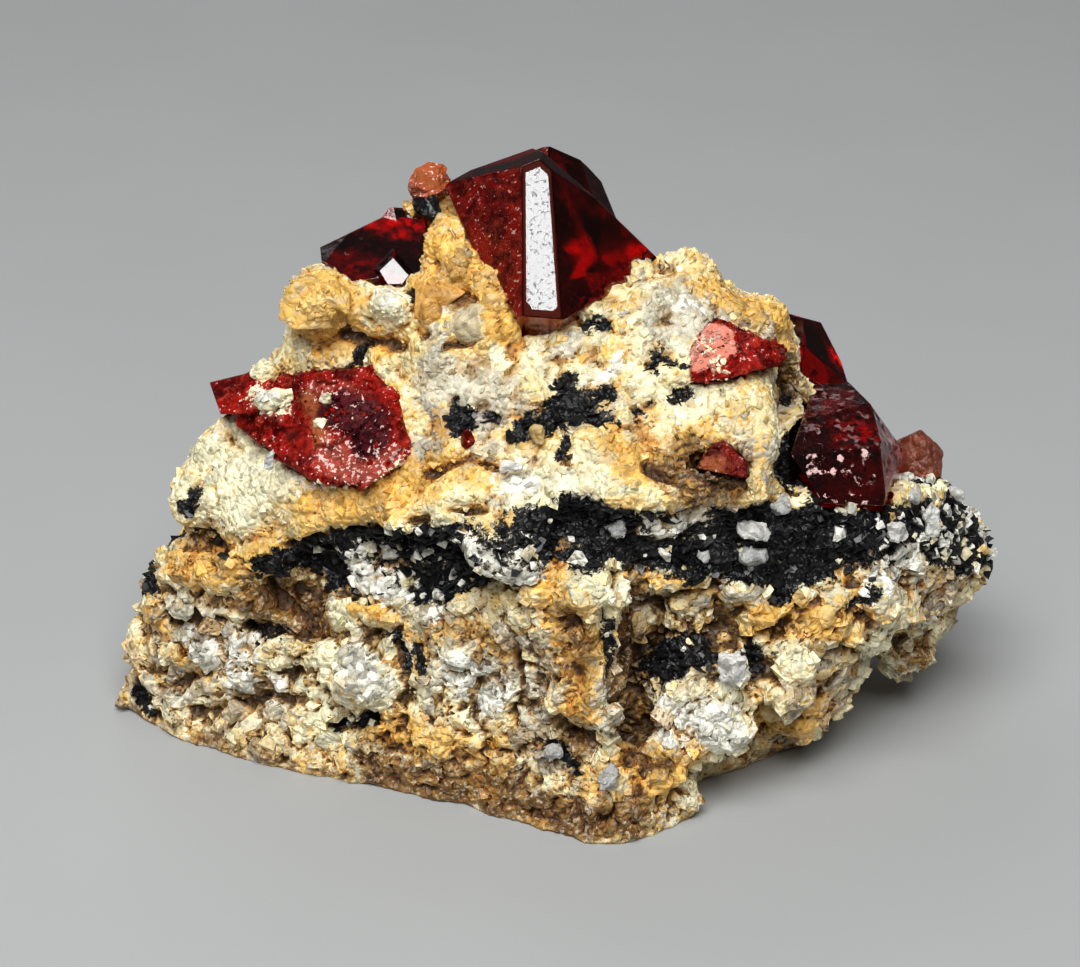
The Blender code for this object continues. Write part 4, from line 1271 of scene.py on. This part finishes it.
class SPECIMEN_OT_rock(bpy.types.Operator):
    """The rock: the solid's shape with clods and broken grains, and its colours."""

    bl_idname = "specimen.rock"
    bl_label = "Rock"

    def execute(self, context):
        relief = settings("rock")
        noise.seed_set(relief.seed)
        rock = copy_of("matrix", "rock")
        add_outcrops(rock)
        apply_modifier(rock, "REMESH", mode="VOXEL", voxel_size=relief.grid)
        apply_modifier(rock, "SMOOTH", factor=0.5, iterations=3)
        points, normals = places_of(rock.data), normals_of(rock.data)
        masks = masks_at(points)
        flaky = masks["mica"] * (1 - smoothstep(0.4, 0.7, masks["spar"]))
        out, grain_kind, tone, seam = np.array([
            grain_relief(point, low, mica)
            for point, low, mica in zip(points.tolist(), masks["low"], flaky)
        ]).T
        out += stroke_relief(points)
        out *= smoothstep(*FLAT_FOOT, points[:, 2])
        points += normals * out[:, None]
        points = close_sockets(points)
        points[:, 2] = np.maximum(points[:, 2], 0)
        set_places(rock.data, points)
        masks.update(kind=grain_kind, tone=tone, seam=seam, hollow=hollows(rock.data))
        for kind, values in masks.items():
            set_mask(rock.data, kind, values)
        rock.data.materials.append(material("stone"))
        finished(rock, "matrix", "matrix")
        return {"FINISHED"}


# ------------------------------------------------------------------ grains

# Seeds of the broken shapes that each kind of grain is drawn from.
GRAIN_SEEDS = range(6)
FLAKE_SEEDS = range(5)
CRUMB_SEEDS = range(10, 14)
SPLINTER_SEEDS = range(20, 25)
FIRST_LARGE_SEED = 40

# Nothing is strewn below this height, to keep the foot clear.
CLEAR_FOOT = 0.45

# A flake's length, width and thickness for its size, and how deep it sits.
FLAKE = (1.3, 0.8, 0.5)
FLAKE_SINK = 0.06
# Crumbs in the band end between these heights, and this share of them is white.
CRUMB_TOP = (16.6, 15.8)
WHITE_CRUMBS = 0.65

# Spacing of a large grain's mesh, and how rough each kind is.
LARGE_GRID = 0.09
ROUGH = {"quartz": 1.0, "spar": 1.0, "amber": 0.6}
LESS_ROUGH = 0.4

# Grains on the bare rock: whether they lie below the band, their least size and how much
# more it may be, and how deep they sit as a share of it.
GRAINS = {"sugar_grains": (0, 0.12, 0.2, 0.45), "coarse_grains": (1, 0.14, 0.36, 0.5)}


def grain_shape(seed, cuts=5):
    """A broken grain: a block cut by a few planes. Returns its points and faces."""
    deselect()
    bpy.ops.mesh.primitive_cube_add(size=1.7)
    grain = bpy.context.object
    chance = np.random.default_rng(seed)
    bpy.ops.object.mode_set(mode="EDIT")
    for _ in range(cuts):
        normal = chance.normal(size=3)
        normal /= np.linalg.norm(normal)
        bpy.ops.mesh.select_all(action="SELECT")
        bpy.ops.mesh.bisect(
            plane_co=tuple(normal * chance.uniform(0.5, 0.9)),
            plane_no=tuple(normal),
            use_fill=True,
            clear_outer=True,
        )
    bpy.ops.mesh.select_all(action="SELECT")
    bpy.ops.mesh.remove_doubles(threshold=0.02)
    bpy.ops.mesh.quads_convert_to_tris()
    bpy.ops.mesh.normals_make_consistent(inside=False)
    bpy.ops.object.mode_set(mode="OBJECT")
    shape = shape_of(grain)
    bpy.data.objects.remove(grain)
    return shape


def flake_shape(seed):
    """A thin six-sided plate of mica with an uneven rim."""
    deselect()
    bpy.ops.mesh.primitive_cylinder_add(vertices=6, radius=1, depth=0.22)
    flake = bpy.context.object
    chance = np.random.default_rng(seed)
    stretch = chance.uniform(0.7, 1.25, 6)
    for vertex in flake.data.vertices:
        corner = round(math.atan2(vertex.co.y, vertex.co.x) / math.radians(60)) % 6
        vertex.co.x *= stretch[corner]
        vertex.co.y *= stretch[corner] * 0.8
    shape = shape_of(flake)
    bpy.data.objects.remove(flake)
    return shape


def shape_of(obj):
    points = np.array([vertex.co for vertex in obj.data.vertices])
    faces = [tuple(polygon.vertices) for polygon in obj.data.polygons]
    return points, faces


def turns(chance, count):
    """Random rotation matrices."""
    q = chance.normal(size=(count, 4))
    q /= np.linalg.norm(q, axis=1)[:, None]
    w, x, y, z = q.T
    return np.stack([
        1 - 2 * (y * y + z * z), 2 * (x * y - z * w), 2 * (x * z + y * w),
        2 * (x * y + z * w), 1 - 2 * (x * x + z * z), 2 * (y * z - x * w),
        2 * (x * z - y * w), 2 * (y * z + x * w), 1 - 2 * (x * x + y * y),
    ], axis=1).reshape(-1, 3, 3)


def turned_to(axes, chance):
    """Rotation matrices that turn +Z to each axis, with a random spin."""
    z = axes / np.linalg.norm(axes, axis=1)[:, None]
    x = np.cross(chance.normal(size=z.shape), z)
    x /= np.linalg.norm(x, axis=1)[:, None]
    return np.stack([x, np.cross(z, x), z], axis=2)


def sizes_of(chance, count, least, more, bias=2.0):
    """Random sizes from the least up; the higher the bias, the fewer are large."""
    return least + more * chance.random(count) ** bias


def uneven(chance, size, low, high):
    """Three sizes for each grain, one along each of its axes."""
    return size[:, None] * chance.uniform(low, high, (len(size), 3))


def strewn(name, shapes, centres, rotations, sizes, masks, finish, chance):
    """One mesh of many copies of the shapes, each with its own masks."""
    pick = chance.integers(len(shapes), size=len(centres))
    points, faces, values, start = [], [], {key: [] for key in masks}, 0
    for number, (corners, sides) in enumerate(shapes):
        chosen = np.flatnonzero(pick == number)
        scaled = corners[None] * sizes[chosen][:, None, :]
        placed = np.einsum("nij,nkj->nki", rotations[chosen], scaled)
        placed += centres[chosen][:, None, :]
        points.append(placed.reshape(-1, 3))
        for copy in range(len(chosen)):
            base = start + copy * len(corners)
            faces += [tuple(base + corner for corner in side) for side in sides]
        for key in masks:
            values[key].append(np.repeat(masks[key][chosen], len(corners)))
        start += len(chosen) * len(corners)
    made = mesh_object(name, np.concatenate(points), faces, finish)
    for key in masks:
        set_mask(made.data, key, np.concatenate(values[key]))
    return made


def face_values(obj, key, width=1):
    """What the object's faces hold under the key, one row for each face."""
    flat = np.empty(len(obj.data.polygons) * width)
    obj.data.polygons.foreach_get(key, flat)
    return flat.reshape(-1, width)


def face_centres(obj):
    return face_values(obj, "center", 3) / MM


def face_spots(obj, chance, density):
    """Random spots on the object's faces: their places, their normals and the numbers of
    their faces. Density is how many lie on a square millimetre, for each face."""
    areas = face_values(obj, "area")[:, 0] / MM**2
    chosen = np.flatnonzero(chance.random(len(areas)) < density * areas)
    centres = face_centres(obj)
    chosen = chosen[centres[chosen, 2] > CLEAR_FOOT]
    return centres[chosen], face_values(obj, "normal", 3)[chosen], chosen


def face_masks(rock):
    """The rock's masks, at the first corner of each face."""
    mesh = rock.data
    corners = np.array([polygon.vertices[0] for polygon in mesh.polygons])
    found = {}
    for name in (
        "ochre", "brown", "grey", "pale", "spar", "mica", "low", "hollow", "kind"
    ):
        values = np.empty(len(mesh.vertices), np.float32)
        mesh.attributes[name].data.foreach_get("value", values)
        found[name] = values[corners]
    return found


class SPECIMEN_OT_grains(bpy.types.Operator):
    """Sugary grains over the rock, coarser below the black band."""

    bl_idname = "specimen.grains"
    bl_label = "Grains"

    def execute(self, context):
        grains, rock = settings("grains"), bpy.data.objects["rock"]
        chance = np.random.default_rng(grains.seed)
        shapes = [grain_shape(seed) for seed in GRAIN_SEEDS]
        found = face_masks(rock)
        clear = 1 - smoothstep(0.35, 0.6, found["mica"])
        for name, (low, least, more, sink) in GRAINS.items():
            density = grains.coarse if low else grains.sugar
            here = found["low"] if low else 1 - found["low"]
            spots, normals, chosen = face_spots(rock, chance, density * clear * here)
            size = sizes_of(chance, len(spots), least, more, bias=2.2)
            sizes = uneven(chance, size, low=0.7, high=1.15)
            centres = spots - normals * (size * sink)[:, None]
            masks = {key: values[chosen] for key, values in found.items()}
            # Grains take a weaker share of the painted shade of the hollow they lie in.
            masks["hollow"] = 0.3 + 0.5 * masks["hollow"]
            masks["tone"] = chance.random(len(spots))
            masks["kind"] += 0.5 * (chance.random(len(spots)) - 0.5)
            made = strewn(
                name, shapes, centres, turns(chance, len(spots)), sizes, masks,
                material("stone"), chance,
            )
            finished(made, "matrix")
        return {"FINISHED"}


def strew_flakes(rock, found, chance):
    """Flakes that lie along the bedding where the mica mask is full."""
    dense = settings("grains").flakes * smoothstep(0.45, 0.6, found["mica"])
    dense *= 1 - 0.85 * smoothstep(0.4, 0.6, found["spar"])
    spots, normals, _ = face_spots(rock, chance, dense)
    lean = np.array(BEDDING) + 0.45 * chance.normal(size=spots.shape)
    lean += 0.35 * normals
    size = sizes_of(chance, len(spots), least=0.12, more=0.3, bias=1.6)
    sizes = size[:, None] * np.array(FLAKE)
    return strewn(
        "mica_flakes", [flake_shape(seed) for seed in FLAKE_SEEDS],
        spots - normals * FLAKE_SINK, turned_to(lean, chance), sizes, {},
        material("mica"), chance,
    )


def strew_crumbs(rock, found, chance):
    """Pale crumbs in the band, most of them at its right end and left of its middle."""
    x, _, z = face_centres(rock).T
    crowd = 0.35 + 2.2 * smoothstep(12.5, 15.5, x)
    crowd += 0.9 * np.exp(-(((x + 6.5) / 2.5) ** 2))
    crowd *= smoothstep(0.5, 0.75, found["mica"]) * settings("grains").crumbs
    crowd *= smoothstep(*CRUMB_TOP, z)
    spots, _, _ = face_spots(rock, chance, crowd)
    count = len(spots)
    size = sizes_of(chance, count, least=0.12, more=0.3)
    masks = {key: np.zeros(count) for key in ("ochre", "brown", "mica", "low")}
    masks["pale"] = chance.random(count)
    masks["grey"] = 1.2 * chance.random(count) - 0.2
    masks["spar"] = np.where(chance.random(count) < WHITE_CRUMBS, 1.0, 0.0)
    masks["tone"] = chance.random(count)
    masks["hollow"] = np.full(count, 0.45)
    masks["kind"] = 0.25 + 0.75 * chance.random(count)
    return strewn(
        "band_crumbs", [grain_shape(seed) for seed in CRUMB_SEEDS], spots,
        turns(chance, count), uneven(chance, size, low=0.7, high=1.2), masks, material("stone"),
        chance,
    )


class SPECIMEN_OT_mica(bpy.types.Operator):
    """Black mica flakes and pale crumbs in the band and in the dark patches."""

    bl_idname = "specimen.mica"
    bl_label = "Mica"

    def execute(self, context):
        rock = bpy.data.objects["rock"]
        chance = np.random.default_rng(settings("grains").seed + 1)
        found = face_masks(rock)
        for strew in (strew_flakes, strew_crumbs):
            finished(strew(rock, found, chance), "matrix")
        return {"FINISHED"}


class SPECIMEN_OT_large_grains(bpy.types.Operator):
    """The larger single grains: quartz, feldspar, stained lumps and a red chip."""

    bl_idname = "specimen.large_grains"
    bl_label = "Large grains"

    def execute(self, context):
        for number, (kind, centre, radii) in enumerate(LARGE_GRAINS):
            points, faces = grain_shape(FIRST_LARGE_SEED + number, cuts=12)
            grain = mesh_object(
                f"{kind}_grain_{number}", points * np.array(radii) + np.array(centre),
                faces, material(kind),
            )
            apply_modifier(grain, "REMESH", mode="VOXEL", voxel_size=LARGE_GRID * MM)
            rough = ROUGH.get(kind, LESS_ROUGH)
            points, normals = places_of(grain.data), normals_of(grain.data)
            for row, point in enumerate(points.tolist()):
                p = Vector(point)
                height = 0.09 * chipped(p, 0.5) + 0.12 * noise.fractal(p / 0.6, 1.0, 2.0, 3)
                points[row] += normals[row] * height * rough
            set_places(grain.data, points)
            finished(grain, "matrix")
        return {"FINISHED"}


# ------------------------------------------------------------------ crystals

# Crystals with clean faces: finish and slot.
SHARP_CRYSTALS = {
    "zircon_main": ("red_zircon", "zircon"),
    "zircon_upper_left": ("etched_zircon", "zircon"),
    "zircon_right": ("right_zircon", "zircon"),
    "zircon_back_right": ("red_zircon", "zircon"),
}

# Crystals without clean faces: finish, slot and depth of the chips.
BROKEN_CRYSTALS = {
    "zircon_left": ("broken_zircon", "zircon_broken", 0.6),
    "zircon_flush": ("broken_zircon", "zircon_broken", 0.5),
    "zircon_chip": ("chip_zircon", "zircon", 0.35),
    "zircon_far_right": ("brown_zircon", "zircon_brown", 0.15),
    "pink_crystal": ("rosy_zircon", "pink", 0.6),
    "black_crystal": ("black_crystal", "black", 0.5),
}

# Size and height of the chips on them, and the spacing of their mesh.
CHIPS = ((1.2, 0.35), (0.5, 0.1))
BROKEN_GRID = 0.11
# The left crystal's tip, left of these, kept its clean faces.
CLEAN_TIP = (-14.2, -13.4)

# Faces of the large crystal with a finish of their own: the direction that they look in,
# how many degrees they may be off it, and the finish.
MARKED_FACES = [
    ((-93, 40), 4, "strip_zircon"),
    ((-138, 29), 25, "veiled_zircon"),
]

# Angles of the clean crystals: triangles this flat are one face, edges over this are
# worn, and edges under this are shaded smooth.
FLAT, WORN_OVER, SMOOTH_UNDER = (math.radians(angle) for angle in (1.5, 12, 4))

# The bright strip: its dull rim, how finely it is cut, its share of the face's length,
# its corner radius, and which worn edges beside it are dull.
RIM = 0.09
STRIP_CUTS = 40
STRIP_LENGTH = 0.94
CORNER = 0.4
WORN_AREA = 1.0
WORN_ANGLE = math.radians(30)


def mark_faces(crystal):
    """Gives the faces that look in a marked direction their own finish."""
    for (azimuth, elevation), within, finish in MARKED_FACES:
        number = slot_of(crystal, finish)
        way = direction(azimuth, elevation)
        for polygon in crystal.data.polygons:
            polygon.select = (
                polygon.normal.angle(way) < math.radians(within)
                and not polygon.material_index
            )
            if polygon.select:
                polygon.material_index = number
        if finish == "strip_zircon":
            rim_strip(crystal)


def slot_of(crystal, finish):
    crystal.data.materials.append(material(finish))
    return len(crystal.data.materials) - 1


def rim_strip(crystal):
    """Draws the bright strip in from the edge of its selected face, shorter than the
    face and round at its corners. A dull rim and dull worn edges are left about it."""
    mesh = crystal.data
    rim, strip = slot_of(crystal, "rim_zircon"), None
    for polygon in mesh.polygons:
        if polygon.select:
            strip, way = polygon.material_index, polygon.normal.copy()
            polygon.material_index = rim
    for polygon in mesh.polygons:
        if polygon.area < WORN_AREA * MM**2 and polygon.normal.angle(way) < WORN_ANGLE:
            polygon.material_index = rim
    take(crystal)
    bpy.ops.object.mode_set(mode="EDIT")
    bpy.ops.mesh.select_mode(type="FACE")
    bpy.ops.mesh.inset(thickness=RIM * MM, depth=0)
    bpy.ops.mesh.subdivide(number_cuts=STRIP_CUTS)
    bpy.ops.object.mode_set(mode="OBJECT")
    inner = set()
    for polygon in mesh.polygons:
        if polygon.select:
            polygon.material_index = strip
            inner.update(polygon.vertices)
    inner = sorted(inner)
    points = places_of(mesh)
    middle = (points[inner].max(axis=0) + points[inner].min(axis=0)) / 2
    across, along = np.linalg.svd(points[inner] - middle)[2][[1, 0]]
    runs, sides = (points[inner] - middle) @ along, (points[inner] - middle) @ across
    length, width = np.abs(runs).max(), np.percentile(np.abs(sides), 80)
    for index, run, side in zip(inner, runs, sides):
        past = np.array([abs(run) - (length - CORNER), abs(side) - (width - CORNER)])
        if (past > 0).all():
            past *= min(CORNER / np.linalg.norm(past), 1)
            run = math.copysign(length - CORNER + past[0], run)
            side = math.copysign(width - CORNER + past[1], side)
        points[index] = middle + STRIP_LENGTH * run * along + side * across
    set_places(mesh, points)


class SPECIMEN_OT_sharp_crystals(bpy.types.Operator):
    """Crystals with clean faces: their edges are worn and their faces polished."""

    bl_idname = "specimen.sharp_crystals"
    bl_label = "Crystals with clean faces"

    def execute(self, context):
        edge = settings("crystals").edge
        for node, (finish, slot) in SHARP_CRYSTALS.items():
            crystal = copy_of(node, f"{node}_crystal")
            bpy.ops.object.mode_set(mode="EDIT")
            bpy.ops.mesh.select_all(action="SELECT")
            bpy.ops.mesh.dissolve_limited(angle_limit=FLAT)
            bpy.ops.object.mode_set(mode="OBJECT")
            apply_modifier(
                crystal, "BEVEL", width=edge, segments=2, limit_method="ANGLE",
                angle_limit=WORN_OVER, use_clamp_overlap=True,
            )
            bpy.ops.object.shade_smooth_by_angle(angle=SMOOTH_UNDER)
            crystal.data.materials.append(material(finish))
            if node == "zircon_main":
                mark_faces(crystal)
            finished(crystal, slot, node)
        return {"FINISHED"}


class SPECIMEN_OT_broken_crystals(bpy.types.Operator):
    """Crystals without clean faces: rough and chipped."""

    bl_idname = "specimen.broken_crystals"
    bl_label = "Broken crystals"

    def execute(self, context):
        for node, (finish, slot, depth) in BROKEN_CRYSTALS.items():
            crystal = copy_of(node, f"{node}_broken")
            apply_modifier(crystal, "REMESH", mode="VOXEL", voxel_size=BROKEN_GRID * MM)
            points, normals = places_of(crystal.data), normals_of(crystal.data)
            for row, (point, normal) in enumerate(zip(points, normals)):
                p = Vector(point)
                height = sum(rise * chipped(p, size, step=0.2) for size, rise in CHIPS)
                whole = smoothstep(*CLEAN_TIP, point[0])
                points[row] = point + normal * height * depth * whole
            for kind, strokes in VEILS.items():
                set_mask(crystal.data, kind, stroke_mask(points, strokes, VEIL_SOFT))
            set_places(crystal.data, points)
            crystal.data.materials.append(material(finish))
            finished(crystal, slot, node)
        return {"FINISHED"}


# Splinters on each square millimetre of the broken crystals, right of the clean tip.
SPLINTERS = 2.0
SPLINTERS_FROM = -13.2


def crust_cover(middles):
    """How many crumbs of each kind lie on a square millimetre, at each face's middle."""
    cover = {kind: np.zeros(len(middles)) for kind in ("pale", "salmon")}
    for kind, density, radius, corners in CRUSTS:
        near = smoothstep(1.2 * radius, 0.6 * radius, off_stroke(middles, corners))
        cover[kind] = np.maximum(cover[kind], density * near)
    cover["splinter"] = SPLINTERS * (middles[:, 0] > SPLINTERS_FROM)
    return cover


class SPECIMEN_OT_crusts(bpy.types.Operator):
    """Crumbs of rock and splinters of crystal on the broken crystals."""

    bl_idname = "specimen.crusts"
    bl_label = "Crusts"

    def execute(self, context):
        chance = np.random.default_rng(settings("grains").seed + 2)
        shapes = [grain_shape(seed) for seed in SPLINTER_SEEDS]
        for node in ("zircon_left", "zircon_flush"):
            crystal = bpy.data.objects[f"{node}_broken"]
            for kind, density in crust_cover(face_centres(crystal)).items():
                spots, _, _ = face_spots(crystal, chance, density)
                count = len(spots)
                if not count:
                    continue
                size = sizes_of(chance, count, least=0.05, more=0.1)
                masks = {}
                if kind == "pale":
                    masks = {
                        "pale": np.ones(count),
                        "tone": 0.5 + 0.5 * chance.random(count),
                        "kind": np.ones(count),
                        "hollow": np.full(count, 0.4),
                    }
                finish = {"pale": "stone", "splinter": "broken_zircon"}.get(kind, kind)
                made = strewn(
                    f"{node}_{kind}", shapes, spots, turns(chance, count),
                    uneven(chance, size, low=0.7, high=1.3), masks, material(finish), chance,
                )
                finished(made, "matrix" if kind == "pale" else "zircon_broken")
        return {"FINISHED"}


# ------------------------------------------------------------------ stage

# Azimuth, elevation and distance of each light, and its width and height in metres.
LIGHTS = {
    "key": (-97, 57, 0.36, (0.31, 0.23)),
    "back_panel": (110, 42, 0.45, (0.36, 0.25)),
}
# The camera looks from this azimuth.
FACING = -90
FLOOR_RADIUS = 3.0


def stand(obj, azimuth, elevation, distance, target):
    """Puts a camera or a lamp at this distance from the target, and turns it there."""
    back = direction(azimuth, elevation)
    obj.location = target + back * distance
    obj.rotation_euler = (-back).to_track_quat("-Z", "Y").to_euler()
    bpy.context.scene.collection.objects.link(obj)


def area_light(name, power, target):
    azimuth, elevation, distance, size = LIGHTS[name]
    data = bpy.data.lights.new(name, "AREA")
    data.shape, data.size, data.size_y, data.energy = "RECTANGLE", *size, power
    stand(bpy.data.objects.new(name, data), azimuth, elevation, distance, target)


def lay_floor(colour):
    """A round floor of pale paper."""
    deselect()
    bpy.ops.mesh.primitive_circle_add(vertices=96, radius=FLOOR_RADIUS, fill_type="NGON")
    floor = bpy.context.object
    floor.name = floor.data.name = "floor"
    finish, tree, shader = node_tree("floor_paper")
    paper = noise_texture(tree, 60.0, detail=3.0).outputs["Fac"]
    darker = tuple(0.97 * value for value in colour)
    tone = mix(tree, mapped(tree, paper, 0.3, 0.7), colour, darker)
    fill(tree, shader, Base_Color=tone, Roughness=0.8)
    floor.data.materials.append(finish)


class SPECIMEN_OT_stage(bpy.types.Operator):
    """A pale floor, soft light from above the camera, and the camera."""

    bl_idname = "specimen.stage"
    bl_label = "Stage"

    def execute(self, context):
        stage, scene = settings("stage"), context.scene
        target = Vector(stage.target)
        camera = bpy.data.objects.new("camera", bpy.data.cameras.new("camera"))
        camera.data.lens, camera.data.sensor_width = stage.lens, 36
        camera.data.clip_start, camera.data.clip_end = 0.005, 20.0
        stand(camera, FACING, math.degrees(stage.elevation), stage.distance, target)
        scene.camera = camera
        area_light("key", stage.key, target)
        area_light("back_panel", stage.fill, target)

        world = bpy.data.worlds.new("room")
        world.use_nodes = True
        room = world.node_tree.nodes["Background"]
        room.inputs["Color"].default_value = (0.80, 0.82, 0.84, 1)
        room.inputs["Strength"].default_value = stage.ambient
        scene.world = world

        lay_floor(stage.floor)
        scene.view_settings.view_transform = "Standard"
        scene.view_settings.look = "Medium High Contrast"
        return {"FINISHED"}


class SPECIMEN_PT_panel(bpy.types.Panel):
    """The specimen's pieces and settings."""

    bl_idname = "SPECIMEN_PT_panel"
    bl_label = "Zircon on matrix"
    bl_space_type = "VIEW_3D"
    bl_region_type = "UI"
    bl_category = "Specimen"

    def draw(self, context):
        for name in STEPS:
            self.layout.operator(f"specimen.{name}")
        for group in GROUPS:
            box = self.layout.box()
            box.label(text=group.title())
            values = settings(group)
            for key in values.bl_rna.properties.keys():
                if key not in ("rna_type", "name"):
                    box.prop(values, key)


STEPS = (
    "rock", "grains", "mica", "large_grains", "sharp_crystals", "broken_crystals",
    "crusts", "stage",
)
GROUPS = {
    "rock": SpecimenRock,
    "grains": SpecimenGrains,
    "crystals": SpecimenCrystals,
    "stage": SpecimenStage,
}
CLASSES = (
    SpecimenRock, SpecimenGrains, SpecimenCrystals, SpecimenStage,
    SPECIMEN_OT_rock, SPECIMEN_OT_grains, SPECIMEN_OT_mica, SPECIMEN_OT_large_grains,
    SPECIMEN_OT_sharp_crystals, SPECIMEN_OT_broken_crystals, SPECIMEN_OT_crusts,
    SPECIMEN_OT_stage,
    SPECIMEN_PT_panel,
)


def register():
    for item in CLASSES:
        bpy.utils.register_class(item)
    for name, group in GROUPS.items():
        setattr(bpy.types.Scene, f"specimen_{name}", PointerProperty(type=group))


def unregister():
    for name in GROUPS:
        delattr(bpy.types.Scene, f"specimen_{name}")
    for item in reversed(CLASSES):
        bpy.utils.unregister_class(item)


def main():
    register()
    for name in STEPS:
        getattr(bpy.ops.specimen, name)()


if __name__ == "__main__":
    main()
